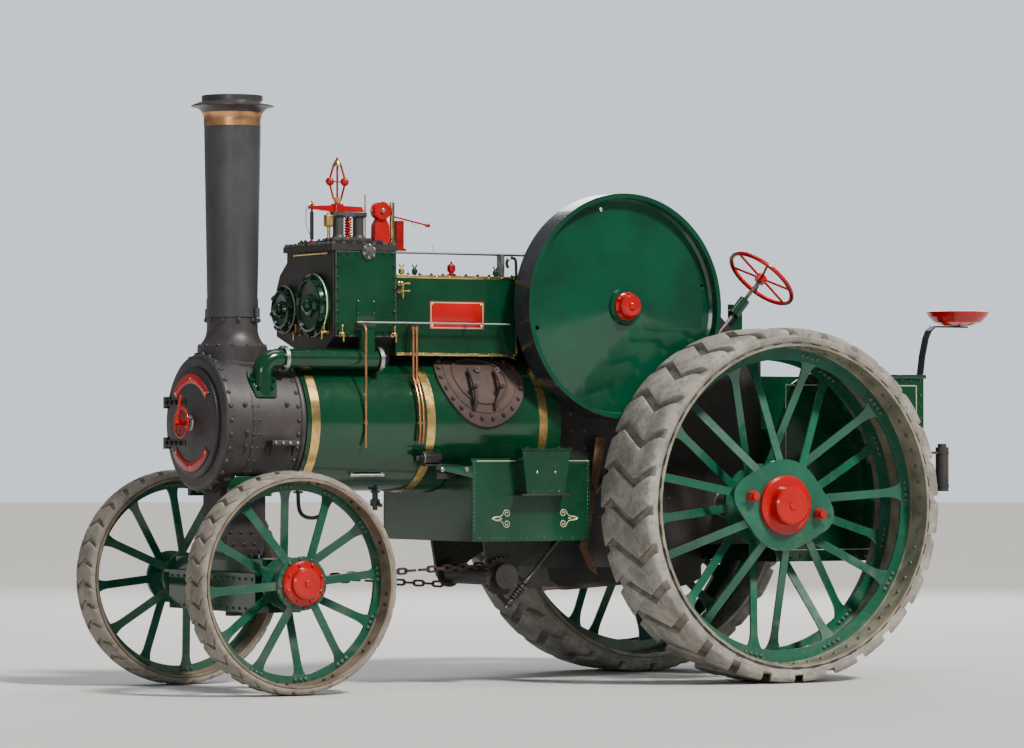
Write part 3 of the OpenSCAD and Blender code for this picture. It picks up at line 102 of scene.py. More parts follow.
def deselect():
    bpy.ops.object.select_all(action="DESELECT")


def take_up(*pieces):
    """Selects these pieces alone, and makes the first the active one."""
    deselect()
    for piece in pieces:
        piece.select_set(True)
    bpy.context.view_layer.objects.active = pieces[0]


def draw(name, points, closed=False):
    """Draws a line of edges from point to point, and stays in edit mode with it selected."""
    deselect()
    points = [Vector(p) for p in points]
    bpy.ops.mesh.primitive_plane_add(size=0.001, location=points[0])
    piece = bpy.context.active_object
    piece.name = piece.data.name = name
    bpy.ops.object.mode_set(mode="EDIT")
    bpy.ops.mesh.merge(type="CENTER")
    for start, end in zip(points, points[1:] + points[:closed]):
        bpy.ops.mesh.extrude_vertices_move(TRANSFORM_OT_translate={"value": end - start})
    bpy.ops.mesh.select_all(action="SELECT")
    if closed:
        bpy.ops.mesh.remove_doubles(threshold=SAME_PLACE)
    return piece


def close_up(piece):
    """Merges doubles, turns the faces outwards and puts the piece's place into its mesh."""
    bpy.ops.mesh.select_all(action="SELECT")
    bpy.ops.mesh.remove_doubles(threshold=SAME_PLACE)
    bpy.ops.mesh.normals_make_consistent(inside=False)
    bpy.ops.object.mode_set(mode="OBJECT")
    bpy.ops.object.transform_apply(location=True, rotation=True, scale=True)
    return piece


def ease(piece, width=0, segments=2, angle=35):
    """Takes the sharpness off a piece's edges, and shades it smooth up to an angle."""
    take_up(piece)
    if width:
        bpy.ops.object.modifier_add(type="BEVEL")
        bevel = adjust(piece.modifiers[-1], width=width / METRE, segments=segments, limit_method="ANGLE",
            angle_limit=radians(angle))
        bpy.ops.object.modifier_apply(modifier=bevel.name)
    bpy.ops.object.shade_smooth_by_angle(angle=radians(angle))
    return piece


def turn(name, centre, axis, profile, sides=48, eased=0, closed=False):
    """Turns a profile of (distance along the axis, radius) steps about an axis."""
    axis = Vector(axis).normalized()
    out = axis.orthogonal().normalized()
    line = [centre + axis * (along / METRE) + out * (radius / METRE) for along, radius in profile]
    piece = draw(name, line, closed)
    bpy.ops.mesh.spin(steps=sides, angle=2 * pi, center=centre, axis=axis)
    return ease(close_up(piece), eased)


def ring(name, centre, axis, section, sides):
    """Turns a closed section about an axis."""
    return turn(name, centre, axis, section, sides, closed=True)


def rod(name, start, end, radius, sides=16):
    """A round rod with chamfered ends."""
    along = Vector(end) - Vector(start)
    length = along.length * METRE
    cut = min(radius / 4, 3)
    profile = [(0, 0), (0, radius - cut), (cut, radius)]
    profile += [(length - cut, radius), (length, radius - cut), (length, 0)]
    return turn(name, Vector(start), along, profile, sides)


def plate(name, outline, through, eased=2):
    """A plate cut to an outline and drawn out through its thickness."""
    piece = draw(name, outline)
    bpy.ops.mesh.edge_face_add()
    bpy.ops.mesh.extrude_region_move(TRANSFORM_OT_translate={"value": Vector(through) / METRE})
    return ease(close_up(piece), eased)


def block(name, low, high, eased=3):
    """A squared block with eased edges."""
    low, high = Vector(low), Vector(high)
    deselect()
    bpy.ops.mesh.primitive_cube_add(size=1, location=(low + high) / 2, scale=high - low)
    piece = bpy.context.active_object
    piece.name = piece.data.name = name
    bpy.ops.object.transform_apply(location=True, rotation=True, scale=True)
    return ease(piece, eased)


def bent_pipe(name, points, radius, order=3, round_steps=3):
    """A pipe or wire bent along a line of points."""
    draw(name, points)
    bpy.ops.object.mode_set(mode="OBJECT")
    bpy.ops.object.convert(target="CURVE")
    curve = bpy.context.active_object.data
    bpy.ops.object.mode_set(mode="EDIT")
    bpy.ops.curve.select_all(action="SELECT")
    bpy.ops.curve.spline_type_set(type="NURBS")
    bpy.ops.object.mode_set(mode="OBJECT")
    adjust(curve.splines[0], use_endpoint_u=True, order_u=order)
    adjust(curve, resolution_u=5, bevel_depth=radius / METRE, bevel_resolution=round_steps,
        use_fill_caps=True)
    bpy.ops.object.convert(target="MESH")
    piece = bpy.context.active_object
    bpy.ops.object.mode_set(mode="EDIT")
    return ease(close_up(piece))


def copy_of(pattern, matrix):
    """A copy of a piece, moved by a matrix."""
    copy = pattern.copy()
    copy.data = pattern.data.copy()
    bpy.context.collection.objects.link(copy)
    copy.matrix_world = matrix
    return copy


def set_out(name, pattern, places):
    """Sets copies of a pattern, made at the origin along Z, at (point, direction) places, as one piece."""
    copies = []
    for point, direction in places:
        turned = Vector(direction).to_track_quat("Z", "Y").to_matrix().to_4x4()
        copies.append(copy_of(pattern, Matrix.Translation(point) @ turned))
    return join(name, *copies)


def join(name, *pieces):
    """Joins pieces into one, with its place in its mesh."""
    take_up(*pieces)
    if len(pieces) > 1:
        bpy.ops.object.join()
    piece = bpy.context.active_object
    bpy.ops.object.transform_apply(location=True, rotation=True, scale=True)
    piece.name = piece.data.name = name
    return piece


def dome_head(radius, height, sides=10):
    """A rivet's or screw's head."""
    profile = [(-1, 0), (-1, radius), (height * 0.45, radius * 0.86), (height * 0.85, radius * 0.5),
        (height, 0)]
    return turn("rivet_pattern", Vector(), Z, profile, sides)


def hex_nut(radius, height, stud=4):
    """A six-sided nut on the end of its stud."""
    radius, height = radius / METRE, height / METRE
    deselect()
    bpy.ops.mesh.primitive_cylinder_add(vertices=6, radius=radius, depth=height, location=(0, 0, height / 2))
    nut = bpy.context.active_object
    bpy.ops.object.transform_apply(location=True, rotation=True, scale=True)
    bpy.ops.object.mode_set(mode="EDIT")
    bpy.ops.mesh.select_all(action="DESELECT")
    mesh = bmesh.from_edit_mesh(nut.data)
    for face in mesh.faces:
        face.select_set(face.normal.z > 0.9)
    bmesh.update_edit_mesh(nut.data)
    bpy.ops.mesh.inset(thickness=radius * 0.14)
    bpy.ops.transform.translate(value=(0, 0, height * 0.12))
    bpy.ops.mesh.inset(thickness=radius * 0.28)
    bpy.ops.mesh.extrude_region_move(TRANSFORM_OT_translate={"value": (0, 0, stud / METRE)})
    bpy.ops.object.mode_set(mode="OBJECT")
    return ease(nut)


# Coats of paint and finishes

def new_coat(name):
    coat = bpy.data.materials.new(name)
    coat.use_nodes = True
    return coat, coat.node_tree, coat.node_tree.nodes["Principled BSDF"]


def step(tree, kind, settings=None, **sockets):
    """Adds a node, with its settings, and its sockets linked or filled in by number or name."""
    node = adjust(tree.nodes.new(kind), **(settings or {}))
    for key, value in sockets.items():
        socket = node.inputs[int(key[1:]) if key[1:].isdigit() else key.replace("_", " ")]
        if isinstance(value, bpy.types.NodeSocket):
            tree.links.new(value, socket)
        else:
            socket.default_value = value
    return node


def own_place(tree):
    """A point's place in its own piece."""
    return step(tree, "ShaderNodeTexCoord").outputs["Object"]


def grain(tree, scale, detail=4.0, stretch=(1, 1, 1), roughness=0.55):
    """Noise over the piece's own place, from 0 to 1."""
    place = own_place(tree)
    if tuple(stretch) != (1, 1, 1):
        place = step(tree, "ShaderNodeMapping", Vector=place, Scale=stretch).outputs[0]
    return step(tree, "ShaderNodeTexNoise", Vector=place, Scale=scale, Detail=detail,
        Roughness=roughness).outputs[0]


def part_of(tree, value, low, high, to_low=0.0, to_high=1.0):
    """How far a value lies between two limits."""
    return step(tree, "ShaderNodeMapRange", {"interpolation_type": "SMOOTHSTEP"}, Value=value,
        From_Min=low, From_Max=high, To_Min=to_low, To_Max=to_high).outputs[0]


def patches(tree, scale, detail, low, high, stretch=(1, 1, 1), roughness=0.55, least=0.0):
    """Patches of noise: the least value below one limit and 1 above the other."""
    return part_of(tree, grain(tree, scale, detail, stretch, roughness), low, high, least)


def combine(tree, kind, first, second):
    return step(tree, "ShaderNodeMath", {"operation": kind}, _0=first, _1=second).outputs[0]


def times(tree, first, second):
    return combine(tree, "MULTIPLY", first, second)


def plus(tree, first, second):
    return combine(tree, "ADD", first, second)


def vector_step(tree, kind, first, second=(0, 0, 0)):
    return step(tree, "ShaderNodeVectorMath", {"operation": kind}, _0=first, _1=second)


def blend(tree, factor, under, over):
    """Lays one colour over another by a factor."""
    node = adjust(tree.nodes.new("ShaderNodeMix"), data_type="RGBA")
    for socket, value in ((node.inputs[0], factor), (node.inputs[6], under), (node.inputs[7], over)):
        if isinstance(value, bpy.types.NodeSocket):
            tree.links.new(value, socket)
        elif isinstance(value, float):
            socket.default_value = value
        else:
            socket.default_value = (*value, 1)
    return node.outputs[2]


def shade(colour, factor):
    """A lighter or darker shade of a colour."""
    return tuple(min(1, c * factor) for c in colour)


def edges_worn(tree, radius, low=0.02, high=0.3):
    """Where a piece's edges are, found with rounded corners of a radius in metres."""
    rounded = step(tree, "ShaderNodeBevel", {"samples": 4}, Radius=radius).outputs[0]
    flat = step(tree, "ShaderNodeNewGeometry").outputs["Normal"]
    same = vector_step(tree, "DOT_PRODUCT", rounded, flat).outputs["Value"]
    return part_of(tree, combine(tree, "SUBTRACT", 1.0, same), low, high)


def distance_from(tree, centre):
    """Distance from a line along Y through a point."""
    apart = vector_step(tree, "SUBTRACT", own_place(tree), centre).outputs[0]
    flat = vector_step(tree, "MULTIPLY", apart, (1, 0, 1)).outputs[0]
    return vector_step(tree, "LENGTH", flat).outputs["Value"]


def along_axis(tree, axis):
    """A point's place along X, Y or Z."""
    return step(tree, "ShaderNodeSeparateXYZ", Vector=own_place(tree)).outputs[axis]


def finish_surface(tree, shader, colour, rough, bump, strength, depth):
    """Links a colour, a roughness and a height map to a coat's shader."""
    tree.links.new(colour, shader.inputs["Base Color"])
    tree.links.new(rough, shader.inputs["Roughness"])
    lump = step(tree, "ShaderNodeBump", Strength=strength, Distance=depth, Height=bump).outputs[0]
    tree.links.new(lump, shader.inputs["Normal"])


DUST = (0.16, 0.14, 0.10)
RUST = (0.20, 0.085, 0.035)
BARE = (0.25, 0.23, 0.21)
SCRATCH = (0.35, 0.4, 0.36)


def enamel(name, colour, gloss=0.16, dust=0.25, coat=0.25, worn=0.0, wheel=None):
    """Brushed gloss paint: slow waves, fine scratches, road dust low down and in patches.

    A wheel gives its rim a soiled and rusty band, by (centre, inner, outer radius in metres, soil, rust)."""
    paint, tree, shader = new_coat(name)
    shader.inputs["Coat Weight"].default_value = coat
    shader.inputs["Coat Roughness"].default_value = 0.06
    tone = blend(tree, patches(tree, 2.1, 3, 0.35, 0.68), shade(colour, 0.78), shade(colour, 1.2))
    low_down = part_of(tree, along_axis(tree, "Z"), 1.5, 0.25, 0.25)
    dusty = times(tree, patches(tree, 5.3, 9, 0.47, 0.78, roughness=0.68), low_down)
    dusty = times(tree, dusty, dust)
    tone = blend(tree, dusty, tone, DUST)
    scratches = patches(tree, 9, 3, 0.6, 0.75, (1, 1, 14))
    tone = blend(tree, times(tree, scratches, 0.02), tone, SCRATCH)
    if worn:
        chips = times(tree, edges_worn(tree, 0.006), patches(tree, 14, 5, 0.42, 0.62))
        tone = blend(tree, times(tree, chips, worn), tone, BARE)
    rough = plus(tree, times(tree, grain(tree, 16, 6), 0.16), gloss - 0.06)
    rough = plus(tree, rough, times(tree, dusty, 0.5))
    if wheel:
        centre, inner, outer, soil, rust = wheel
        radius = distance_from(tree, centre)
        band = times(tree, part_of(tree, radius, inner - 0.002, inner + 0.001),
            part_of(tree, radius, outer, outer - 0.001))
        soiled = blend(tree, patches(tree, 7, 8, 0.3, 0.7), soil, shade(soil, 0.45))
        soiled = blend(tree, times(tree, patches(tree, 3, 5, 0.55, 0.72), rust), soiled, RUST)
        tone = blend(tree, band, tone, soiled)
        rough = combine(tree, "MAXIMUM", rough, times(tree, band, 0.3 + 0.55 * rust))
    waves = plus(tree, grain(tree, 4.5, 2), times(tree, grain(tree, 60, 3), 0.05))
    finish_surface(tree, shader, tone, rough, waves, 0.22, 0.004)
    return paint


def casting(name, colour, patch, rough=0.5, streak=0.3, grit=0.4, worn=0.0):
    """Painted or sooted iron: grained, streaked from top to bottom, with dull patches."""
    iron, tree, shader = new_coat(name)
    tone = blend(tree, patches(tree, 3.4, 8, 0.38, 0.7, roughness=0.65), colour, patch)
    runs = patches(tree, 11, 4, 0.5, 0.75, (1, 1, 0.12))
    tone = blend(tree, times(tree, runs, streak), tone, shade(patch, 1.9))
    tone = blend(tree, times(tree, patches(tree, 70, 2, 0.62, 0.75), 0.25), tone, DUST)
    if worn:
        chips = times(tree, edges_worn(tree, 0.005), patches(tree, 18, 5, 0.4, 0.6))
        tone = blend(tree, times(tree, chips, worn), tone, BARE)
    dull = plus(tree, times(tree, grain(tree, 9, 7), 0.3), rough - 0.15)
    skin = plus(tree, grain(tree, 140, 3), times(tree, grain(tree, 12, 3), 2.0))
    finish_surface(tree, shader, tone, dull, skin, grit, 0.0015)
    return iron


def bright_metal(name, colour, tarnish, rough=0.22, amount=0.6):
    """Polished metal that tarnishes in patches."""
    metal, tree, shader = new_coat(name)
    shader.inputs["Metallic"].default_value = 1.0
    spots = times(tree, patches(tree, 13, 7, 0.42, 0.7), amount)
    tone = blend(tree, spots, colour, tarnish)
    dull = plus(tree, times(tree, spots, 0.35), rough)
    lines = plus(tree, grain(tree, 90, 3, (1, 1, 6)), times(tree, grain(tree, 18, 3), 1.5))
    finish_surface(tree, shader, tone, dull, lines, 0.12, 0.001)
    return metal


def worn_rubber(name, colour, light, edge):
    """Old tread rubber, scrubbed pale on its edges, with dust and cuts."""
    rubber, tree, shader = new_coat(name)
    shader.inputs["Specular IOR Level"].default_value = 0.3
    tone = blend(tree, patches(tree, 6, 9, 0.36, 0.68, roughness=0.7), colour, light)
    tone = blend(tree, times(tree, patches(tree, 26, 6, 0.52, 0.7), 0.5), tone, shade(colour, 0.45))
    rubbed = times(tree, edges_worn(tree, 0.012, 0.01, 0.25), patches(tree, 12, 5, 0.3, 0.6, least=0.35))
    tone = blend(tree, times(tree, rubbed, 0.75), tone, edge)
    soft = plus(tree, times(tree, grain(tree, 20, 6), 0.2), 0.68)
    cuts = plus(tree, grain(tree, 45, 8, roughness=0.7), times(tree, grain(tree, 9, 4), 1.6))
    finish_surface(tree, shader, tone, soft, cuts, 0.55, 0.004)
    return rubber


def brass_ahead_of(name, paint, brass_start):
    """A painted fitting that is bare brass ahead of a place along X, in metres."""
    mixed, tree, shader = new_coat(name)
    metal = part_of(tree, along_axis(tree, "X"), brass_start - 0.0005, brass_start + 0.0005)
    tarnish = blend(tree, patches(tree, 22, 6, 0.42, 0.7), (0.80, 0.58, 0.24), (0.38, 0.22, 0.08))
    painted = blend(tree, patches(tree, 12, 6, 0.45, 0.75), paint, shade(paint, 0.6))
    tree.links.new(metal, shader.inputs["Metallic"])
    dull = plus(tree, times(tree, grain(tree, 25, 5), 0.2), 0.12)
    finish_surface(tree, shader, blend(tree, metal, painted, tarnish), dull, grain(tree, 60, 3), 0.1, 0.001)
    return mixed


def bell_finish(name, band_top):
    """A copper bell that is black above a height, in metres: soot on its lip, and painted shade on the bell
    under the lip.
    """
    mixed, tree, shader = new_coat(name)
    # Black above the height: the lip's soot, and painted shade on the bell beneath it
    soot_and_shade = part_of(tree, along_axis(tree, "Z"), band_top - 0.002, band_top + 0.002)
    tarnish = blend(tree, patches(tree, 9, 7, 0.4, 0.7), (0.70, 0.36, 0.16), (0.34, 0.17, 0.09))
    sooted_and_shaded = blend(tree, patches(tree, 6, 7, 0.4, 0.7), (0.032, 0.029, 0.032), (0.055, 0.048, 0.050))
    tree.links.new(combine(tree, "SUBTRACT", 1.0, soot_and_shade), shader.inputs["Metallic"])
    dull = plus(tree, times(tree, grain(tree, 14, 6), 0.25), 0.24)
    finish_surface(tree, shader, blend(tree, soot_and_shade, tarnish, sooted_and_shaded), dull, grain(tree, 20, 3), 0.15, 0.002)
    return mixed


FLYWHEEL_RIM = (CRANK, 0.6835, 0.69, (0.030, 0.032, 0.040), 0.0)
REAR_RIM = (REAR_HUB, 0.957, 0.9825, (0.30, 0.27, 0.20), 0.35)
FRONT_RIM = (FRONT_HUB, 0.582, 0.6035, (0.25, 0.185, 0.13), 0.4)
green_enamel = enamel("engine_green_enamel", (0.0003, 0.039, 0.014), 0.15, 0.15)
tank_enamel = enamel("tank_green_enamel", (0.0012, 0.044, 0.018), 0.18, 0.2)
flywheel_enamel = enamel("flywheel_green_enamel", (0.0006, 0.056, 0.026), 0.1, 0.03, 0.4, wheel=FLYWHEEL_RIM)
# The wheels' green is the engine's green made lighter: a painted reflection of the sky on the wheels
rear_wheel_enamel_painted_sheen = enamel("rear_wheel_enamel_painted_sheen", (0.006, 0.095, 0.052), 0.26, 0.6, 0.3, 0.5, REAR_RIM)
front_wheel_enamel_painted_sheen = enamel("front_wheel_enamel_painted_sheen", (0.003, 0.078, 0.042), 0.26, 0.6, 0.25, 0.5, FRONT_RIM)
wheel_rivet_green = casting("wheel_rivet_green", (0.030, 0.075, 0.055), (0.075, 0.115, 0.090), 0.35, grit=0.2)
red_enamel = enamel("red_enamel", (0.44, 0.002, 0.003), 0.16, 0.08, 0.1)
black_enamel = enamel("black_enamel", (0.010, 0.010, 0.011), 0.26, 0.25)
cream_line = enamel("cream_line_paint", (0.62, 0.53, 0.36), 0.3, 0.2, 0.3)
sooted_iron = casting("sooted_smokebox_iron", (0.026, 0.023, 0.025), (0.056, 0.045, 0.043), 0.46)
door_black = casting("smokebox_door_black", (0.020, 0.018, 0.021), (0.042, 0.035, 0.036), 0.42, 0.2, 0.3)
chimney_iron = casting("chimney_iron", (0.034, 0.033, 0.039), (0.052, 0.049, 0.056), 0.46, 0.2, 0.25)
cast_grey = casting("cast_grey", (0.036, 0.036, 0.039), (0.080, 0.074, 0.070), grit=0.5, worn=0.4)
chassis_black = casting("chassis_black", (0.013, 0.012, 0.012), (0.028, 0.023, 0.019), streak=0.2, worn=0.3)
rusty_iron = casting("rusty_iron", (0.034, 0.022, 0.019), (0.070, 0.038, 0.027), 0.7, grit=0.6, worn=0.2)
rust_orange = casting("rust_brown", (0.085, 0.038, 0.020), (0.20, 0.10, 0.055), 0.8, grit=0.6)
shadow_gap = casting("shadow_gap_black", (0.006, 0.005, 0.005), (0.012, 0.010, 0.009), 0.8, 0.1, 0.35)
brass = bright_metal("old_brass", (0.80, 0.56, 0.20), (0.36, 0.20, 0.07))
copper = bright_metal("old_copper", (0.66, 0.33, 0.14), (0.24, 0.11, 0.05), 0.26, 0.8)
steel = bright_metal("worn_steel", (0.50, 0.49, 0.48), (0.16, 0.13, 0.11), 0.3, 0.7)
# Dark steel for the steering shaft: the darkness is painted shade, as the shaft lies in shadow
steel_darkened_for_painted_shade = bright_metal("steel_darkened_for_painted_shade", (0.22, 0.21, 0.20), (0.06, 0.05, 0.04), 0.32, 0.8)
brass_and_red = brass_ahead_of("lubricator_red_and_brass", (0.33, 0.003, 0.004), at(2184, 0, 0).x)
bell_copper = bell_finish("bell_copper_and_iron", 3.405)
tyre_rubber = worn_rubber("tyre_rubber", (0.205, 0.190, 0.168), (0.375, 0.350, 0.305), (0.56, 0.51, 0.42))
front_rubber = worn_rubber("front_tyre_rubber", (0.190, 0.165, 0.140), (0.285, 0.255, 0.215),
    (0.46, 0.39, 0.31))


def fit(piece, coat, body="engine"):
    """Coats a piece and fixes it to its body."""
    piece.data.materials.clear()
    piece.data.materials.append(coat)
    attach(piece, body)
    return piece


CAD_COATS = (
    (sooted_iron, "smokebox chimney_base rear_can"),
    (chimney_iron, "chimney_barrel"),
    (door_black, "smokebox_door"),
    (bell_copper, "chimney_bell"),
    (green_enamel, "boiler cylinder_cladding exhaust_pipe guide_box column_bearing tender front_axle"),
    (tank_enamel, "belly_tank tank_filler tank_lid"),
    (chassis_black, "hornplates cylinder_block crank_cover gear_guard perch_bracket drawbar firehole_door"),
    (chassis_black, "steering_bracket_left steering_bracket_right steering_drum steering_worm"),
    (black_enamel, "seat_bracket"),
    (red_enamel, "governor_stand governor door_handles crankshaft steering_wheel seat"),
    (red_enamel, "front_cap_left front_cap_right rear_cap_left rear_cap_right"),
    (cast_grey, "safety_valves"),
    (rusty_iron, "manhole chains_rear chains_front"),
    (brass, "boiler_bands"),
    (brass_and_red, "lubricators"),
    (copper, "copper_pipes"),
    (steel, "rear_axle control_rods"),
    (steel_darkened_for_painted_shade, "steering_shaft"),
    (flywheel_enamel, "flywheel"),
    (front_wheel_enamel_painted_sheen, "front_wheel_left front_wheel_right"),
    (rear_wheel_enamel_painted_sheen, "rear_wheel_left rear_wheel_right"),
    (front_rubber, "front_tyre_left front_tyre_right"),
    (tyre_rubber, "rear_tyre_left rear_tyre_right"),
)
for coat, nodes in CAD_COATS:
    for name in nodes.split():
        cad[name].data.materials.clear()
        cad[name].data.materials.append(coat)


# Tyres

# A tread's steps are (distance from its middle, lead in degrees, radius), and a wall's (distance, radius)
REAR_TYRE = dict(hub=REAR_HUB, lugs=28, groove=3.3, foot=0.951, edge=6, coat=tyre_rubber,
    steps=[(-272.5, 3.2, 1045), (-262, 3.4, 1062), (-238, 4.0, 1074), (-138, 6.9, 1079), (-20, 3.6, 1079),
        (110, 0.0, 1079), (190, 2.2, 1077.5), (238, 3.6, 1072), (262, 4.3, 1061), (272.5, 4.6, 1045)],
    wall=[(-262, 982.5), (-273.5, 1000), (-273.5, 1018), (-262, 1032), (255, 1032), (273.5, 1022),
        (273.5, 1000), (262, 982.5)])
FRONT_TYRE = dict(hub=FRONT_HUB, lugs=32, groove=2.7, foot=0.966, edge=4, coat=front_rubber,
    steps=[(-108.5, 0.0, 628.5), (-98, 0.6, 639), (-70, 2.2, 646), (-20, 3.8, 648), (30, 1.5, 648),
        (62, 0.0, 645), (86, 3.4, 640), (100, 5.2, 634), (108.5, 5.6, 624.5)],
    wall=[(-104, 603.5), (-109.5, 609), (-109.5, 618), (-102, 627.5), (102, 627.5), (109.5, 618),
        (109.5, 609), (104, 603.5)])


def tyre(node, side, phase, hub, lugs, groove, foot, edge, coat, steps, wall):
    """A tyre of lugs between zigzag grooves. The lugs' feet are scaled down into its solid band."""
    low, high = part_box(node)
    middle = Y * side * abs(low.y + high.y) / 2
    name = node.replace("_tyre_", "_tread_")
    line = []
    for across, lead, radius in steps:
        turned = radians(phase + groove / 2 + lead)
        out = Vector((radius * cos(turned), side * across, radius * sin(turned)))
        line.append(hub + middle + out / METRE)
    lug = draw(name + "_lug", line)
    bpy.ops.mesh.spin(steps=4, angle=radians(360 / lugs - groove), center=hub, axis=(0, -1, 0))
    bpy.ops.mesh.select_all(action="SELECT")
    bpy.ops.mesh.extrude_region_move(TRANSFORM_OT_translate={"value": (0, 0, 0)})
    bpy.ops.transform.resize(value=(foot, 1, foot), center_override=hub)
    close_up(lug)
    copies = []
    for i in range(lugs):
        turned = Matrix.Rotation(2 * pi * i / lugs, 4, "Y")
        copies.append(copy_of(lug, Matrix.Translation(hub) @ turned @ Matrix.Translation(-hub)))
    tread = join(name + "_lugs", *copies)
    bpy.data.objects.remove(lug)
    ease(tread, edge, 2, 28)
    whole = ease(join(name, tread, ring(name + "_band", hub + middle, Y, wall, 112)))
    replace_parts(fit(whole, coat, node.replace("_tyre_", "_wheel_")), node)


for side, which in SIDES:
    tyre("rear_tyre_" + which, side, -9.0, **REAR_TYRE)
    tyre("front_tyre_" + which, side, -3.3 if side > 0 else 3.5, **FRONT_TYRE)


# Where the details sit

def body_of(node):
    """The body that carries a piece of the frame."""
    return next(body for body, nodes in record["bodies"].items() if node in nodes)


def seats(node, starts, direction):
    """Places on a piece of the frame that lines from the starts meet, facing back along the lines."""
    direction = Vector(direction).normalized()
    places = []
    for start in starts:
        met, place, _, _ = cad[node].ray_cast(Vector(start), direction)
        if met:
            places.append((place, -direction))
    return places


def facing(node, x, y, z, direction):
    """Where a line from a place first meets a piece of the frame."""
    return seats(node, [at(x, y, z)], direction)[0][0]


def seats_beside(node, side, places):
    """Seats met from one side of the engine, by (x, z)."""
    return seats(node, [at(x, side * OUTSIDE, z) for x, z in places], -Y * side)


def seats_both_sides(node, places):
    """Seats met from both sides of the engine, by (x, z)."""
    return seats_beside(node, 1, places) + seats_beside(node, -1, places)


def seats_below(node, places):
    """Seats met from above, by (x, y)."""
    return seats(node, [at(x, y, ABOVE) for x, y in places], -Z)


def from_boiler(angle):
    """The direction out from the boiler's axis, by its angle from straight up towards the left."""
    return Y * sin(radians(angle)) + Z * cos(radians(angle))


def around_boiler(x, radius, angle):
    """A place at x and at a radius and angle about the boiler's axis."""
    return at(x, radius * sin(radians(angle)), BOILER + radius * cos(radians(angle)))


def seats_round(node, x_and_angles):
    """Places round the boiler's axis, each met by a line towards the axis."""
    places = []
    for x, angle in x_and_angles:
        start = around_boiler(x, 620, angle)
        places += seats(node, [start], at(x, 0, BOILER) - start)
    return places


def circle(centre, radius, count, axis, start=0.0):
    """Points round a circle about an axis, from a start in radians."""
    across = Z.cross(axis) if abs(axis.z) < 0.9 else X
    up = axis.cross(across)
    turns = [start + 2 * pi * i / count for i in range(count)]
    return [Vector(centre) + (across * cos(t) + up * sin(t)) * (radius / METRE) for t in turns]


def on_wheel(hub, y, radius, angle):
    """A point on a wheel, by its angle from straight up towards the front."""
    return hub + Vector((radius * sin(radians(angle)), y, radius * cos(radians(angle)))) / METRE


def to_hub(angle):
    """The direction from a wheel's rim to its hub."""
    return Vector((-sin(radians(angle)), 0, -cos(radians(angle))))


def grid(firsts, seconds):
    """Every pair of a first and a second value."""
    return [(first, second) for first in firsts for second in seconds]


def fasten(name, pattern, places, coat, body="engine"):
    """Sets copies of a rivet or nut on their places as one piece."""
    return fit(set_out(name, pattern, places), coat, body)


def frame_spans(x0, x1, z0, z1, width):
    """Spans of the top, foot and ends of a frame."""
    return [(x0, x1, z1 - width, z1), (x0, x1, z0, z0 + width), (x0, x0 + width, z0, z1),
        (x1 - width, x1, z0, z1)]


def strips(name, side, y, thick, spans, coat, eased=0.8):
    """Thin flat strips on an upright face, as one piece, by (x0, x1, z0, z1) spans."""
    low, high = sorted((side * y, side * (y + thick)))
    pieces = [block("strip", at(x0, low, z0), at(x1, high, z1), eased) for x0, x1, z0, z1 in spans]
    return fit(join(name, *pieces), coat)


small_rivet = dome_head(11, 9)
foot_rivet = dome_head(14.5, 13)
tiny_rivet = dome_head(5.5, 3.5, 8)
screw_head = dome_head(9, 5, 12)
rim_bolt = hex_nut(11, 8)
small_nut = hex_nut(9.5, 8)
nut = hex_nut(14, 12)
big_nut = hex_nut(21, 17, 8)


# Rivets and bolts on the wheels, and black plates that paint the shadow in the slots at the rear rims' edges

SLOT_FOOT, SLOT_TOP, SLOT_LEADS = 979.5, 986, (-1.9, 0, 1.9)
for side, which in SIDES:
    body = "rear_wheel_" + which
    mid = side * REAR_WHEEL_Y
    places = []
    for row, phase in ((1, 23), (-1, 41)):
        for angle in [phase + 36 * i + offset for i in range(10) for offset in (-3.45, -1.15, 1.15, 3.45)]:
            places.append((on_wheel(REAR_HUB, mid + side * (row * 105 + 7), 925, angle), Y * side))
    for row in (1, -1):
        for angle in range(2, 362, 6):
            places.append((on_wheel(REAR_HUB, mid + side * row * 200, 964, angle), to_hub(angle)))
    fasten("rear_rivets_" + which, foot_rivet, places, wheel_rivet_green, body)
    # Thin black plates on the rim's edge: painted shadow of the gaps between rim and tyre
    shadow_slots = []
    for i in range(44):
        corners = grid([SLOT_FOOT], SLOT_LEADS) + grid([SLOT_TOP], reversed(SLOT_LEADS))
        outline = [on_wheel(REAR_HUB, mid + side * 275.5, radius, 360 / 44 * i + lead)
            for radius, lead in corners]
        shadow_slots.append(plate("slot", outline, Y * side * 6, 0.8))
    fit(join("rear_rim_shadow_slots_" + which, *shadow_slots), shadow_gap, body)

    body = "front_wheel_" + which
    mid = side * FRONT_WHEEL_Y
    places = []
    for angle in [5 + 30 * i + offset for i in range(12) for offset in (-3.4, 0, 3.4)]:
        for face in (side, -side):
            places.append((on_wheel(FRONT_HUB, mid + face * 7, 560, angle), Y * face))
    fasten("front_rivets_" + which, foot_rivet, places, wheel_rivet_green, body)
    bolts = [(on_wheel(FRONT_HUB, mid + side * 70, 589, angle), to_hub(angle))
        for angle in [5 + 30 * i + offset for i in range(12) for offset in (12, 18)]]
    fasten("front_rim_bolts_" + which, rim_bolt, bolts, chassis_black, body)


# Smokebox and door

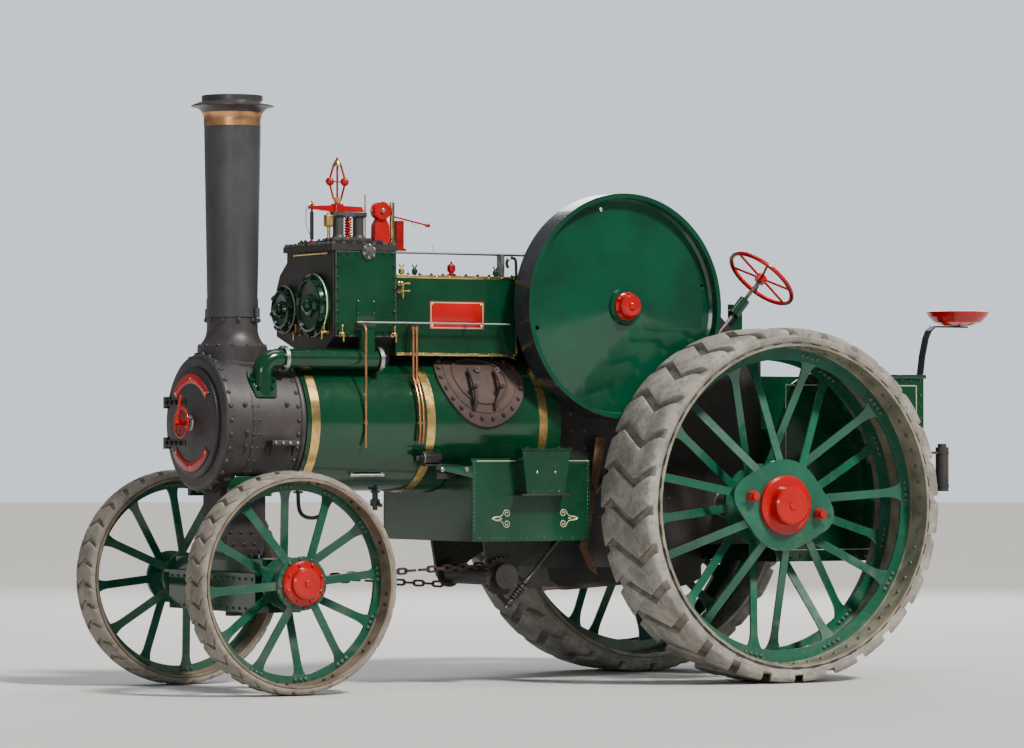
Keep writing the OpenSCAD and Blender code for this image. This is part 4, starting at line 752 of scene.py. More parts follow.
for name, x in (("front", 3470), ("rear", 3024)):
    places = seats_round("smokebox", grid((x,), range(4, 364, 12)))
    fasten("smokebox_" + name + "_rivets", foot_rivet, places, sooted_iron)
seam_places = seats_round("smokebox", grid((3288, 3322), range(76, 286, 12)))
fasten("smokebox_seam_rivets", small_rivet, seam_places, sooted_iron)
side_bolts = ((3373, 1680), (3363, 1515), (3361, 1434), (3098, 1681))
fasten("smokebox_side_bolts", nut, seats_both_sides("smokebox", side_bolts), sooted_iron)
lap_seam = draw("smokebox_lap_seam", [around_boiler(3285.5, 397.5, angle) for angle in range(64, 298, 6)])
bpy.ops.mesh.extrude_region_move(TRANSFORM_OT_translate={"value": X * 39 / METRE})
close_up(lap_seam)
bpy.ops.object.modifier_add(type="SOLIDIFY")
adjust(lap_seam.modifiers[-1], thickness=5 / METRE, offset=0)
bpy.ops.object.modifier_apply(modifier=lap_seam.modifiers[-1].name)
fit(ease(lap_seam), sooted_iron)

shelf = block("shelf", at(3046, 372, 1462), at(3228, 452, 1470), 2)
GUSSET = ((380, 1462), (446, 1462), (390, 1376), (370, 1376))
gussets = [plate("gusset", [at(x, y, z) for y, z in GUSSET], X * 8) for x in (3060, 3206)]
lip = block("lip", at(3046, 446, 1440), at(3228, 453, 1472), 2)
fit(join("smokebox_shelf", shelf, lip, *gussets), sooted_iron)
fasten("smokebox_shelf_bolts", small_nut, [(at(3066 + 142 / 3 * i, 453, 1454), Y) for i in range(4)], steel)

strap_starts = [at(IN_FRONT, y, BOILER + side * 120) for side in (1, -1) for y in (-296, -236, -176, -116)]
fasten("door_strap_bolts", nut, seats("smokebox_door", strap_starts, -X), black_enamel, "smokebox_door")
door_rim_x = facing("smokebox_door", IN_FRONT, 0, BOILER + 288, -X).x
plate_rise = (facing("smokebox_door", IN_FRONT, 0, BOILER + 232, -X).x - door_rim_x) * METRE + 7


def on_door(out, radius, angle):
    """A place in front of the door's rim, by its angle from the left about the boiler's axis."""
    turned = radians(angle)
    centre = Vector((door_rim_x, 0, BOILER / METRE))
    return centre + Vector((out, radius * cos(turned), radius * sin(turned))) / METRE


def arc_plate(name, start, end, inner, outer, sunk, thick, coat):
    """A bare plate bent round the door's edge between two angles, sunk a little into its rim."""
    angles = [start + (end - start) * i / 16 for i in range(17)]
    outline = [on_door(-sunk, outer, a) for a in angles]
    outline += [on_door(-sunk, inner, a) for a in reversed(angles)]
    fit(plate(name, outline, X * thick, 1.5), coat, "smokebox_door")


for name, start, end in (("door_plate_top", 38, 142), ("door_plate_foot", 218, 322)):
    arc_plate(name, start, end, 234, 286, 2, plate_rise, red_enamel)
    arc_plate(name + "_edge", start - 1.2, end + 1.2, 229, 291, 3, plate_rise - 2, black_enamel)
    screws = [(on_door(plate_rise - 2, 260, angle), X) for angle in (start + 4, (start + end) / 2, end - 4)]
    fasten(name + "_screws", screw_head, screws, brass, "smokebox_door")
fit(ring("door_rim_ring", at(3509, 0, BOILER), X, [(6, 318), (9, 322), (6, 327), (0, 327), (0, 318)], 96),
    door_black, "smokebox_door")
boss = facing("smokebox_door", IN_FRONT, 30, BOILER, -X) - Y * 30 / METRE
fit(ring("door_boss_ring", boss, X, [(-1, 34), (3, 36), (3, 41), (-4, 43), (-12, 50), (-16, 50),
    (-16, 34)], 40), steel, "smokebox_door")


# Chimney and exhaust

foot_starts = circle(at(CHIMNEY_X, 0, 2600), 198, 14, Z, 0.22)
fasten("chimney_foot_rivets", small_rivet, seats("chimney_base", foot_starts, -Z), sooted_iron)
barrel_seam = [at(CHIMNEY_X - 300, -300, z) for z in range(2230, 3300, 55)]
fasten("chimney_seam_rivets", small_rivet, seats("chimney_barrel", barrel_seam, (1, 1, 0)), chimney_iron)
joint = at(CHIMNEY_X, 0, 2180)
joint_bolts = []
for start in circle(joint, 300, 10, Z, 0.1):
    joint_bolts += seats("chimney_base", [start], joint - start)
fasten("chimney_joint_bolts", nut, joint_bolts, chimney_iron)

foot_axis = from_boiler(53.4)
foot_side = foot_axis.cross(X)
FLANGE_NUTS = ((70, 0), (-70, 0), (42, 54), (-42, 54), (42, -54), (-42, -54))
flange_starts = [at(EXHAUST_FOOT_X + along, 0, BOILER) + foot_axis * 0.7 + foot_side * across / METRE
    for along, across in FLANGE_NUTS]
foot_seats = [seat for seat in seats("exhaust_pipe", flange_starts, -foot_axis)
    if (seat[0] - at(EXHAUST_FOOT_X, 0, BOILER)).length < 0.425]
fasten("exhaust_foot_nuts", nut, foot_seats, green_enamel)
for name, x, toward in (("front", 3160, -X), ("rear", 2410, X)):
    flange = circle(at(x, EXHAUST_Y, EXHAUST_Z), 66.5, 6, X, 0.3)
    fasten("exhaust_flange_nuts_" + name, small_nut, seats("exhaust_pipe", flange, toward), steel)
for name, x in (("front", 3091), ("rear", 2462)):
    fit(ring("exhaust_flange_ring_" + name, at(x, EXHAUST_Y, EXHAUST_Z), X, [(-11.5, 68), (11.5, 68),
        (11.5, 77.2), (-11.5, 77.2)], 48), steel)


# Cylinder block, its panels and covers

panel_edge = grid(range(2346, 2735, 61), (2100, 2579)) + grid((2338, 2721), range(2164, 2560, 68))
fasten("panel_bolts_left", small_nut, seats_beside("cylinder_cladding", 1, panel_edge), green_enamel)
fasten("block_bolts_right", small_nut, seats_beside("cylinder_block", -1, panel_edge), green_enamel)
edging = frame_spans(2325, 2734, 2086, 2593, 4)[1:] + [(2325, 2462, 2589, 2593), (2568, 2734, 2589, 2593)]
strips("panel_edging", 1, PANEL_Y + 0.1, 1.6, edging, cast_grey)
fit(block("access_plate", at(2468, PANEL_Y, 2140), at(2595, 311, 2305), 2), green_enamel)
strips("access_plate_line", 1, 311, 1, frame_spans(2474, 2589, 2146, 2299, 3), green_enamel)
plate_screws = [(at(x, 311.5, z), Y) for x, z in grid((2480, 2583), (2152, 2222, 2293))]
fasten("access_plate_screws", screw_head, plate_screws, green_enamel)
fit(turn("panel_notch_boss", at(2515, 300, 2590), Y, [(0, 0), (0, 47), (14, 47), (17, 44), (17, 30), (26, 28),
    (26, 12), (32, 10), (32, 0)], 36, 1), cast_grey)
fasten("panel_notch_nuts", small_nut, [(p, Y) for p in circle(at(2515, 317, 2590), 37, 6, Y, 0.4)], steel)

COVER_START = 2900
for name, y, z, radius, count in (("large", 82, 2273, 188, 10), ("small", -285, 2257, 143, 8)):
    nuts = seats("cylinder_cladding", circle(at(COVER_START, y, z), radius - 20, count, X, 0.2), -X)
    fasten(name + "_cover_nuts", big_nut, nuts, green_enamel)
    hub = Vector((nuts[0][0].x, y / METRE, z / METRE))
    fit(ring(name + "_cover_rim", hub, X, [(-4, radius - 4), (1.5, radius - 3), (1.5, radius + 1),
        (-4, radius + 2)], 72), cream_line)
    fit(ring(name + "_cover_ring", hub, X, [(-4, radius * 0.66), (3, radius * 0.67), (3, radius * 0.71),
        (-4, radius * 0.72)], 60), steel)
    fit(turn(name + "_cover_dome", facing("cylinder_cladding", COVER_START, y, z, -X), X, [(-4, 0), (-4, 40),
        (6, 39), (18, 32), (28, 18), (31, 0)], 40), green_enamel)

deck_places = grid(range(2336, 2752, 68), (297, -297)) + grid((2328, 2748), range(-240, 300, 60))
fasten("deck_studs", nut, seats_below("cylinder_block", deck_places), cast_grey)
upper_places = grid(range(2376, 2700, 62), (188, -218)) + grid((2372, 2690), (130, 72, 14, -160))
fasten("upper_deck_studs", small_nut, seats_below("cylinder_block", upper_places), cast_grey)

rail = [rod("rail", at(2757, -155, 2580), at(2757, 227, 2580), 6)]
for y, side in ((-155, -1), (227, 1)):
    rail.append(turn("rail_end", at(2757, y, 2580), Y * side, [(0, 0), (0, 9.5), (10, 10.5), (18, 6),
        (20, 0)], 20))
for y in (-130, 36, 202):
    rail.append(rod("rail_post", at(2738, y, 2580), at(2757, y, 2580), 5))
fit(join("block_front_rail", *rail), brass)


def cock(name, place, outwards, lever=Z):
    """A small brass drain cock with its lever and spout."""
    plug = place + outwards * 32 / METRE
    mouth = place + outwards * 48 / METRE
    barrel = turn("barrel", place, outwards, [(-2, 0), (-2, 13), (6, 13), (8, 8), (22, 8), (24, 12), (40, 12),
        (42, 7), (52, 6), (53, 0)], 20)
    handle = rod("handle", plug, plug + lever * 50 / METRE, 4.5)
    knob = turn("knob", plug + lever * 44 / METRE, lever, [(0, 0), (0, 6), (5, 9), (11, 7), (14, 0)], 16)
    spout = rod("spout", mouth, mouth - Z * 45 / METRE, 5.5)
    return fit(join(name, barrel, handle, knob, spout), brass)


for name, x, y, z, outwards in (("front_left", 2743, 240, 2112, X), ("front_right", 2743, -120, 2112, X),
        ("side_front", 2706, 306, 2098, Y), ("side_rear", 2352, 306, 2098, Y)):
    cock("drain_cock_" + name, at(x, y, z), outwards)


# Governor, valves and fittings on the deck

def helix(centre, radius, turns, height):
    """Points of a coil that rises along Z, twelve to a turn."""
    count = turns * 12
    return [centre + Vector((radius * cos(pi * i / 6), radius * sin(pi * i / 6), height * i / count)) / METRE
        for i in range(count + 1)]


fit(bent_pipe("valve_spring", helix(at(2484, 0, 2692), 18.5, 7, 115), 5.8, 3, 2), red_enamel)
fit(turn("valve_spring_cup", at(2484, 0, 2662), Z, [(-2, 0), (-2, 26), (10, 26), (14, 21), (28, 21), (30, 15),
    (30, 0)], 28), brass)
fit(turn("oil_cup", at(2638, 40, 2640), Z, [(0, 0), (0, 24), (22, 24), (24, 10), (104, 10), (108, 28),
    (114, 31), (172, 31), (178, 26), (182, 12), (190, 10), (194, 0)], 32), brass)
post = rod("post", at(2380, 20, 2640), at(2380, 20, 2940), 5)
post_top = turn("post_top", at(2380, 20, 2936), Z, [(0, 0), (0, 8), (6, 10), (14, 6), (16, 0)], 16)
post_foot = turn("post_foot", at(2380, 20, 2655), Z, [(0, 0), (0, 15), (12, 15), (16, 8), (30, 7),
    (30, 0)], 20)
fit(join("brass_post", post, post_top, post_foot), brass)
fit(turn("front_rod_tip", at(FRONT_ROD_X, 0, 2866), Z, [(-4, 0), (-4, 11), (10, 11), (16, 8), (20, 8),
    (34, 4), (35, 0)], 20), red_enamel)
LOOP = ((2733, 2692), (2764, 2712), (2774, 2790), (2768, 2862), (2745, 2888), (2720, 2890), (2712, 2878))
fit(bent_pipe("front_rod_loop", [at(x, 0, z) for x, z in LOOP], 2.6, 4, 2), steel)


def governor():
    """Two red balls on bowed arms between brass collars, on a spindle."""
    bow = ((26, 2916), (33, 2945), (50, 2996), (52, 3020), (50, 3044), (32, 3092), (22, 3126))
    ball = [(26.5 * sin(radians(a)), 26.5 * cos(radians(a))) for a in range(-90, 91, 15)]
    pieces = [rod("spindle", at(GOVERNOR_X, 0, 2880), at(GOVERNOR_X, 0, 3150), 6.5)]
    for side in (1, -1):
        for edge in (7, -7):
            line = [at(GOVERNOR_X + side * out, edge, z) for out, z in bow]
            pieces.append(bent_pipe("arm", line, 3.4, 4, 2))
        centre = at(GOVERNOR_X + side * 50, 0, 3020)
        pieces.append(turn("ball", centre, Z, ball, 28))
        pieces.append(rod("ball_link", at(GOVERNOR_X, 0, 3020), centre, 4))
    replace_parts(fit(join("governor_arms_and_balls", *pieces), red_enamel, "governor"), "governor")


governor()
for name, z, up in (("foot", 2886, 1), ("top", 3148, -1)):
    fit(turn("governor_collar_" + name, at(GOVERNOR_X, 0, z), Z * up, [(0, 0), (0, 17), (10, 19), (30, 31),
        (36, 31), (38, 27), (38, 0)], 36), brass, "governor")
fit(rod("front_rod_sleeve", at(FRONT_ROD_X, 0, 2672), at(FRONT_ROD_X, 0, 2836), 11.5), black_enamel)
fit(turn("governor_tip", at(GOVERNOR_X, 0, 3146), Z, [(-2, 0), (-2, 9), (14, 8), (20, 4), (22, 0)], 20),
    red_enamel, "governor")
lever_end, grip_start = at(1966, 38, 2772), at(1976, 38, 2774)
whistle_lever = rod("lever", at(2205, 38, 2820), lever_end, 5.5)
whistle_grip = turn("grip", grip_start, lever_end - grip_start, [(0, 0), (0, 8), (12, 12), (30, 10),
    (36, 0)], 20)
fit(join("whistle_lever", whistle_lever, whistle_grip), red_enamel)
WIRE = ((2074, 38, 2796), (2060, 40, 2764), (2010, 60, 2740), (1974, 90, 2700), (1962, 112, 2640),
    (1960, 118, 2606))
fit(bent_pipe("whistle_wire", [at(*place) for place in WIRE], 2.2, 4, 2), steel)
for side, which in SIDES:
    place = facing("governor_stand", 2300, side * 108, 2849, -Y * side)
    fasten("pulley_nut_" + which, nut, [(place, Y * side)], steel)


# Guide box and crank cover

for side, which in SIDES:
    spans = ((1476, 2312, 2440, 2458), (1476, 2312, 1978, 1994), (1476, 1488, 1994, 2440))
    strips("guide_strip_" + which, side, GUIDE_Y, 3.5, spans, brass, 1)
    screws = [(at(x, side * (GUIDE_Y + 3.5), z), Y * side)
        for x, z in grid(range(1500, 2310, 90), (2449, 1986))]
    fasten("guide_strip_screws_" + which, tiny_rivet, screws, brass)
fit(block("bare_plate", at(1712, GUIDE_Y, 2137), at(2088, 292, 2305), 2), red_enamel)
strips("bare_plate_line", 1, 292, 1, frame_spans(1718, 2082, 2143, 2299, 5), cream_line)
bare_screws = [(at(x, 292.5, z), Y) for x, z in grid((1731, 2069), (2156, 2286))]
fasten("bare_plate_screws", screw_head, bare_screws, brass)
top_seats = seats_below("guide_box", grid(range(1500, 2300, 80), (262, -262)))
fasten("guide_top_nuts", small_nut, top_seats, green_enamel)


def wing_cup(place):
    """A small oil cup with a winged lid."""
    wings = ((-20, 62), (-14, 66), (0, 44), (14, 66), (20, 62), (6, 36), (-6, 36))
    cup = turn("cup", place, Z, [(-4, 0), (-4, 10), (6, 10), (10, 17), (34, 17), (40, 10), (46, 0)], 20)
    wing = plate("wing", [place + Vector((x, -2, z)) / METRE for x, z in wings], Y * 4, 0.8)
    return join("wing_cup", cup, wing)


cups = [wing_cup(place) for place, up in
    seats_below("guide_box", ((2250, 236), (2160, 236), (2250, -236), (1600, 236)))]
fit(join("wing_cups_brass", cups[0]), brass)
fit(join("wing_cups_green", *cups[1:]), green_enamel)
for name, z in (("a", 2406), ("b", 2362)):
    cock("guide_cock_" + name, at(2296, 291, z), Y, -X)
HOOK = ((1470, 262, 2456), (1470, 262, 2530), (1476, 264, 2572), (1510, 268, 2578), (1540, 270, 2560),
    (1542, 270, 2530), (1530, 270, 2516))
hook = bent_pipe("hook", [at(*place) for place in HOOK], 9)
hook_foot = block("hook_foot", at(1452, 244, 2456), at(1500, 280, 2466), 2)
fit(join("hooked_bracket", hook, hook_foot), black_enamel)
cover_edge = grid(range(-200, 1260, 80), (2312,))
fasten("hornplate_top_rivets", small_rivet, seats_both_sides("hornplates", cover_edge), chassis_black)


# Manhole

MANHOLE_X, MANHOLE_ANGLE, MANHOLE_R = 1762, 50, 426


def round_manhole(across, steps, count):
    """Places round the manhole, whose plate follows the boiler, as (x, angle)."""
    turns = [2 * pi * i / steps for i in range(count)]
    return [(MANHOLE_X + across * cos(t), MANHOLE_ANGLE + degrees(across / MANHOLE_R * sin(t)))
        for t in turns]


fasten("manhole_studs", nut, seats_round("manhole", round_manhole(268, 22, 22)), rusty_iron)
for name, across, wire in (("inner", 178, 10), ("outer", 236, 5)):
    points = [place for place, out in seats_round("manhole", round_manhole(across, 40, 41))]
    fit(bent_pipe("manhole_" + name + "_ring", points, wire, 3, 2), rusty_iron)
for name, x0, x1 in (("front", 1850, 1853), ("rear", 1668, 1711)):
    bends = ((x0 - 16, 446, 44), (x0 - 8, 470, 52), (x0, 474, 66), (x1, 462, 74), (x1, 440, 78))
    arm = bent_pipe("arm", [around_boiler(*bend) for bend in bends], 13)
    stud = rod("stud", around_boiler(x0, 430, 62), around_boiler(x0, 510, 62), 9)
    fit(join("manhole_dog_" + name, arm, stud), rusty_iron)
    fasten("manhole_dog_nut_" + name, big_nut, [(around_boiler(x0, 482, 62), from_boiler(62))], rusty_iron)
fasten("manhole_eye_bolts", big_nut, seats_round("manhole", [(1764, 43), (1625, 43)]), cast_grey)


# Boiler fittings

fit(rod("boiler_side_bar", around_boiler(2398, 424, 137), around_boiler(2631, 424, 137), 9), steel)
fit(join("boiler_side_bar_posts", *[rod("post", around_boiler(x, 405, 137), around_boiler(x, 426, 137), 12)
    for x in (2412, 2616)]), steel)
half = Vector((11, 11, 11)) / METRE
for name, x, angle in (("left", 1330, 118), ("right", 1330, -118), ("foot", 2660, 180)):
    plug = turn("plug", around_boiler(x, BOILER_R, angle), from_boiler(angle),
        [(0, 0), (0, 34), (10, 34), (14, 30), (14, 0)], 32)
    middle = around_boiler(x, BOILER_R + 16, angle)
    fit(join("washout_plug_" + name, plug, block("square", middle - half, middle + half, 1)), brass)
valve_body = turn("valve_body", at(2300, 0, 1170), -Z, [(0, 0), (0, 30), (12, 30), (14, 18), (50, 18),
    (54, 30), (92, 30), (96, 16), (118, 15), (118, 0)], 28)
valve_spout = rod("valve_spout", at(2300, 0, 1098), at(2300, 74, 1080), 12)
fit(join("boiler_drain_valve", valve_body, valve_spout), cast_grey)
clips = grid((1367, 2143.5, 2920), (174, 186))
fasten("band_screws", screw_head, seats_round("boiler_bands", clips), steel)


# Tank and its pocket

rivet_heights = range(892, 1350, 24)
for side, which in SIDES:
    strips("tank_line_" + which, side, TANK_Y - 0.4, 1.4, [(TANK_REAR + 4, TANK_FRONT - 30, 1346, 1351)],
        cream_line)
    edge = grid((TANK_FRONT - 14, TANK_REAR + 14), rivet_heights)
    edge += grid(range(TANK_REAR + 40, TANK_FRONT - 30, 40), (886,))
    fasten("tank_side_rivets_" + which, tiny_rivet, seats_beside("belly_tank", side, edge), tank_enamel)
for name, x, toward in (("front", 2200, -X), ("rear", 900, X)):
    starts = [at(x, y, z) for y, z in grid((TANK_Y - 14, 14 - TANK_Y), rivet_heights)]
    fasten("tank_" + name + "_rivets", tiny_rivet, seats("belly_tank", starts, toward), tank_enamel)


def scroll(x, outwards, up):
    """Half of a painted scroll: a spiral that runs out to a point beside its mate's, and a leaf."""
    spiral = []
    for i in range(22):
        turned = radians(200 - 27 * i)
        spiral.append(((5 + i) * cos(turned), 30 + (5 + i) * sin(turned)))
    spiral += [(44, 10), (66, 15), (86, 9), (102, 0)]
    leaf = ((34, 0), (54, 9), (78, 10), (102, 0))
    strokes = []
    for line, radius in ((spiral, 2.2), (leaf, 1.8)):
        points = [at(x + outwards * along, TANK_Y + 1, 1004 + up * rise) for along, rise in line]
        strokes.append(bent_pipe("stroke", points, radius, 4, 1))
    return strokes


strokes = []
for x, outwards in ((1704, 1), (1310, -1)):
    for up in (1, -1):
        strokes += scroll(x, outwards, up)
fit(join("tank_scrolls", *strokes), cream_line)
fit(block("pocket_gutter", at(1314, TANK_Y, 1140), at(1654, 646, 1151), 2), chassis_black)
pocket_edge = grid(range(1334, 1640, 60), (1166,)) + grid((1334, 1632), (1392,))
fasten("pocket_rivets", tiny_rivet, seats_beside("tank_filler", 1, pocket_edge), tank_enamel)
fasten("pocket_screws", screw_head, seats_beside("tank_filler", 1, grid((1420, 1546), (1280,))), steel)

lifter = turn("lifter", at(2100, 400, 1365), X, [(-20, 0), (-20, 34), (0, 40), (100, 40), (102, 30),
    (120, 30), (122, 18), (150, 18), (150, 0)], 32)
lifter_bracket = block("lifter_bracket", at(1938, 372, 1240), at(2092, 388, 1330))
lifter_top = block("lifter_top", at(1930, 366, 1318), at(2200, 434, 1328))
fit(join("tank_front_lifter", lifter, lifter_bracket, lifter_top), black_enamel)
fit(ring("lifter_ring", at(2200, 400, 1365), X, [(-4, 40.5), (6, 42.5), (6, 31), (-4, 31)], 32), steel)
bracket = [at(x, 540, z) for x, z in ((1939, 1248), (1939, 1319), (2185, 1319), (2185, 1300))]
fit(plate("tank_front_bracket", bracket, Y * 10), tank_enamel)
fasten("tank_front_bracket_bolts", nut, [(at(x, 550, 1298), Y) for x in (1985, 2150)], steel)


# Firebox, hornplates and what hangs beside them

stays = grid(range(420, 1230, 101), range(1010, 1700, 104))
fasten("firebox_stays", small_rivet, seats_both_sides("hornplates", stays), cast_grey)
STRAP = ((905, 1490), (984, 1117), (1042, 825), (972, 660), (1016, 678), (1094, 825), (1030, 1117),
    (978, 1490))
STRAP_BOLTS = ((942, 1452), (1000, 1180), (1066, 850), (996, 690))
fit(plate("beside_wheel_strap", [at(x, 376, z) for x, z in STRAP], Y * 10), rust_orange)
fasten("beside_wheel_strap_bolts", nut, [(at(x, 386, z), Y) for x, z in STRAP_BOLTS], rust_orange)
fit(join("beside_wheel_strap_posts", *[rod("post", at(x, 328, z), at(x, 378, z), 12)
    for x, z in (STRAP_BOLTS[0], STRAP_BOLTS[2])]), chassis_black)
fit(rod("damper_rod", at(1092, 352, 585), at(1347, 352, 573), 10), rusty_iron)
fit(join("damper_rod_ends", *[block("end", at(x - 14, 336, z - 14), at(x + 14, 368, z + 14), 2)
    for x, z in ((1100, 585), (1338, 574))]), rusty_iron)


# Front end

for name, x, toward in (("front", 3700, -X), ("rear", 2800, X)):
    starts = [at(x, y, z) for y, z in grid(range(-520, 521, 80), (492, 664))]
    fasten("beam_" + name + "_rivets", small_rivet, seats("front_axle", starts, toward), green_enamel,
        body_of("front_axle"))
perch_places = grid((3120, 3190, 3260, 3330, 3400), (860, 930, 1180))
fasten("perch_rivets", small_rivet, seats_both_sides("perch_bracket", perch_places), chassis_black)
HOOP = ((2636, 1176), (2634, 1076), (2652, 1022), (2729, 1002), (2806, 1022), (2824, 1076), (2822, 1176))
hoop = bent_pipe("hoop", [at(x, 0, z) for x, z in HOOP], 12, 4)
hoop_pads = [block("pad", at(x - 22, -20, 1156), at(x + 22, 20, 1172), 2) for x in (2636, 2822)]
fit(join("hanging_hoop", hoop, *hoop_pads), chassis_black)
SADDLE = ((3421, 1143), (3421, 1214), (3382, 1262), (3182, 1262), (3138, 1222), (3138, 1143))
for side, which in SIDES:
    inner = 239 if side > 0 else -272
    fit(plate("saddle_side_" + which, [at(x, inner, z) for x, z in SADDLE], Y * 33, 5), green_enamel)
    bolts = [(at(x, side * 272, 1172), Y * side) for x in (3172, 3280, 3388)]
    fasten("saddle_side_bolts_" + which, nut, bolts, green_enamel)


# Caps of the wheels

for side, which in SIDES:
    outwards = Y * side
    hub = FRONT_HUB + outwards * 1.2
    cap, wheel = "front_cap_" + which, "front_wheel_" + which
    cap_body = body_of(cap)
    cap_bolts = seats(cap, circle(hub, 114, 8, Y, 0.35), -outwards)
    fasten("front_cap_bolts_" + which, small_nut, cap_bolts, red_enamel, cap_body)
    top = seats(cap, [hub], -outwards)[0][0]
    fit(turn("front_cap_plug_" + which, top, outwards, [(-3, 0), (-3, 22), (6, 22), (9, 19), (9, 0)], 6),
        red_enamel, cap_body)
    hub_bolts = seats(wheel, circle(hub, 143, 12, Y, 0.1), -outwards)
    fasten("front_hub_bolts_" + which, small_nut, hub_bolts, front_wheel_enamel_painted_sheen, wheel)

    hub = REAR_HUB + outwards * 1.3
    cap = "rear_cap_" + which
    cap_body = body_of(cap)
    top = seats(cap, [hub], -outwards)[0][0]
    fit(turn("rear_cap_plug_" + which, top, outwards, [(-3, 0), (-3, 30), (5, 30), (9, 26), (9, 0)], 40),
        red_enamel, cap_body)
    fit(ring("rear_cap_groove_" + which, top - outwards * 60 / METRE, outwards, [(-3, 118.5), (3, 118.5),
        (3, 122.5), (-3, 122.5)], 56), red_enamel, cap_body)
    pins = []
    for tilt in (13, -13, 193, 167):
        arm = Vector((cos(radians(tilt)), 0, sin(radians(tilt))))
        for place, out in seats(cap, [hub + arm * 0.25], -outwards):
            middle = place - outwards * 10 / METRE
            eye = ((36, 0), (46, 12), (60, 8), (60, -8), (46, -12), (36, 0))
            pins.append(rod("pin", middle - arm * 40 / METRE, middle + arm * 40 / METRE, 4.5))
            line = [middle + (arm * along + Z * rise) / METRE for along, rise in eye]
            pins.append(bent_pipe("eye", line, 3, 3, 2))
    fit(join("driving_pin_keys_" + which, *pins), black_enamel, cap_body)

hub = CRANK + Y * 0.8
crank_bolts = seats("crankshaft", circle(hub, 78, 6, Y, 0.5), -Y)
fasten("crank_cap_bolts", small_nut, crank_bolts, red_enamel, body_of("crankshaft"))
top = seats("crankshaft", [hub], -Y)[0][0]
fit(turn("crank_cap_plug", top, Y, [(-3, 0), (-3, 22), (6, 22), (10, 16), (12, 0)], 40), red_enamel,
    body_of("crankshaft"))
guard_places = seats_beside("gear_guard", -1, grid(range(-300, 1300, 84), range(900, 2700, 84)))
fasten("gear_guard_rivets", small_rivet, guard_places[::5], chassis_black)


# Tender

tender_side = grid(range(-1350, -280, 70), (752, 1850)) + grid((-1355, -300), range(820, 1820, 72))
fasten("tender_side_rivets", small_rivet, seats_both_sides("tender", tender_side), green_enamel)
tender_back = grid(range(-456, 460, 76), (752, 1850)) + grid((-472, 472), range(820, 1820, 72))
back_seats = seats("tender", [at(-1900, y, z) for y, z in tender_back], X)
fasten("tender_back_rivets", small_rivet, back_seats, green_enamel)
for side, which in SIDES:
    strips("tender_line_" + which, side, 499.6, 1.4, frame_spans(-1326, -330, 790, 1820, 5), cream_line)
back_lines = [block("strip", at(-1381.2, y0, z0), at(-1379.6, y1, z1), 0.8)
    for y0, y1, z0, z1 in ((-440, 440, 790, 795), (-440, 440, 1815, 1820), (-440, -435, 790, 1820),
        (435, 440, 790, 1820))]
fit(join("tender_line_back", *back_lines), cream_line)


# Driver's fittings

back_head_x = (facing("hornplates", 100, 120, 1730, X).x - AXLE_X) * METRE
GAUGE_Y, GAUGE_Z = 140, 1860


def behind_boiler(out, y, z):
    """A place this far behind the boiler's back plate."""
    return at(back_head_x - out, y, z)


def on_dial(out, radius, turned):
    """A place in front of the pressure gauge's dial."""
    return behind_boiler(out, GAUGE_Y + radius * cos(turned), GAUGE_Z + radius * sin(turned))


fit(turn("gauge", behind_boiler(0, GAUGE_Y, GAUGE_Z), -X, [(-10, 0), (-10, 16), (40, 16), (45, 70), (85, 75),
    (92, 70), (92, 64), (86, 62), (86, 0)], 48), brass)
dial = turn("dial", behind_boiler(85.5, GAUGE_Y, GAUGE_Z), -X, [(0, 0), (0, 61), (2, 61), (2, 0)], 48)
fit(dial, cream_line)
marks = [rod("mark", on_dial(88.2, 46, radians(turned)), on_dial(88.2, 56, radians(turned)), 1.2, 6)
    for turned in range(-40, 246, 26)]
needle = rod("needle", behind_boiler(89, GAUGE_Y, GAUGE_Z), behind_boiler(89, 105, 1880), 2, 8)
fit(join("gauge_marks", needle, *marks), black_enamel)
for name, z in (("top", 1800), ("foot", 1580)):
    cock("water_gauge_cock_" + name, behind_boiler(0, -150, z), -X, -Y)
fit(rod("water_gauge_glass", behind_boiler(46, -150, 1580), behind_boiler(46, -150, 1800), 8), steel)
regulator = rod("regulator", behind_boiler(0, 0, 1930), behind_boiler(70, 0, 1930), 18)
regulator_arm = rod("regulator_arm", behind_boiler(60, 0, 1930), behind_boiler(80, -200, 1900), 11)
regulator_grip = turn("regulator_grip", behind_boiler(79.5, -195, 1900.8), (-0.02, -0.2, -0.03),
    [(0, 0), (0, 14), (20, 19), (70, 17), (90, 10), (92, 0)], 24)
fit(join("regulator_lever", regulator, regulator_arm, regulator_grip), steel)

lever_foot, lever_head = at(-150, -240, 1160), at(-230, -240, 1900)
lever = [rod("lever", lever_foot, lever_head, 14)]
lever.append(turn("lever_grip", lever_head, lever_head - lever_foot, [(-20, 0), (-20, 16), (0, 20), (100, 19),
    (120, 12), (124, 0)], 24))
quadrant = [at(-150 + 400 * sin(radians(a)), -216, 1160 + 400 * cos(radians(a))) for a in range(-34, 26, 6)]
lever.append(bent_pipe("quadrant", quadrant, 10))
lever.append(block("lever_base", at(-210, -270, 1160), at(-90, -180, 1182), 4))
for end in (quadrant[0], quadrant[-1]):
    lever.append(rod("leg", end, (end.x, end.y, lever_foot.z), 10))
fit(join("reversing_lever", *lever), steel)


# Studio floor, light and camera

deselect()
bpy.ops.mesh.primitive_circle_add(vertices=96, radius=90, fill_type="NGON", location=(0, 0, 0))
floor = bpy.context.active_object
floor.name = "studio_floor"
pale, tree, shader = new_coat("pale_floor")
shader.inputs["Roughness"].default_value = 0.85
floor_tone = blend(tree, grain(tree, 0.8, 3), (0.60, 0.59, 0.57), (0.64, 0.63, 0.61))
tree.links.new(floor_tone, shader.inputs["Base Color"])
floor.data.materials.append(pale)

ENGINE_MIDDLE = Vector((0.3, 0, 1.5))


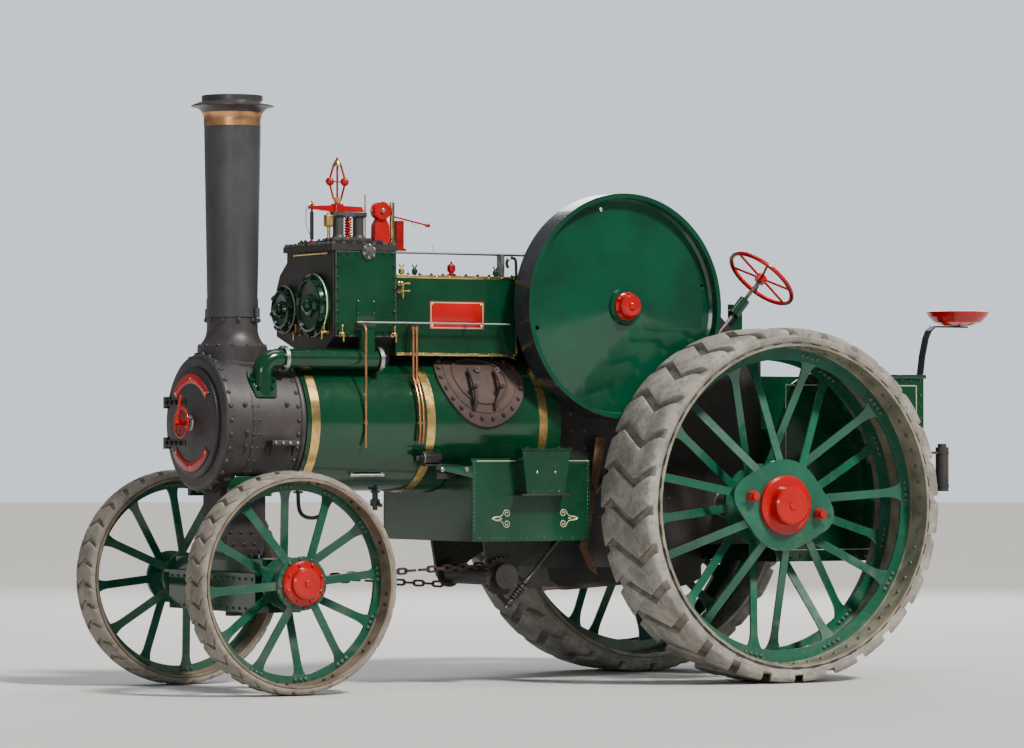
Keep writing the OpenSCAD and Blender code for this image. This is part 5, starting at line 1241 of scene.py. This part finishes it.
def look(thing, direction):
    """Turns a lamp or camera so that it faces along a direction."""
    thing.rotation_euler = Vector(direction).to_track_quat("-Z", "Y").to_euler()


def in_scene(name, data):
    """Puts a lamp or camera into the scene."""
    thing = bpy.data.objects.new(name, data)
    bpy.context.scene.collection.objects.link(thing)
    return thing


def softbox(name, place, width, height, power, tint):
    """A rectangular light that faces the engine."""
    light = adjust(bpy.data.lights.new(name, "AREA"), shape="RECTANGLE", size=width, size_y=height,
        energy=power, color=tint)
    lamp = in_scene(name, light)
    lamp.location = place
    look(lamp, ENGINE_MIDDLE - Vector(place))


sun = adjust(bpy.data.lights.new("key_sun", "SUN"), energy=4.6, angle=radians(9), color=(1, 0.96, 0.90))
look(in_scene("key_sun", sun), (2.4, -8.6, -9.4))
softbox("camera_side_light", (18, 18, 7), 7.0, 5.0, 800, (0.96, 0.98, 1))
softbox("top_light", (0.3, 0, 14), 8.0, 5.0, 500, (0.95, 0.98, 1))
softbox("back_light", (-9, -13, 8), 10.0, 7.0, 1300, (0.95, 0.97, 1))

# The backdrop is brighter to the camera than the light that it gives
world = bpy.data.worlds.new("studio_air")
world.use_nodes = True
air = world.node_tree
background = air.nodes["Background"]
background.inputs["Color"].default_value = (0.80, 0.88, 0.95, 1)
seen = air.nodes.new("ShaderNodeLightPath")
strength = air.nodes.new("ShaderNodeMapRange")
strength.inputs["To Min"].default_value = 0.24
strength.inputs["To Max"].default_value = 1.15
air.links.new(seen.outputs["Is Camera Ray"], strength.inputs["Value"])
air.links.new(strength.outputs[0], background.inputs["Strength"])
bpy.context.scene.world = world

camera_data = adjust(bpy.data.cameras.new("photo_angle"), lens=162.55, sensor_width=36, clip_end=400)
camera = in_scene("photo_angle", camera_data)
camera.location = (14.69, 24.37, 1.44)
look(camera, Vector((0.3485, 0, 1.878)) - camera.location)
bpy.context.scene.camera = camera

for pattern in (small_rivet, foot_rivet, tiny_rivet, screw_head, rim_bolt, small_nut, nut, big_nut):
    bpy.data.objects.remove(pattern)
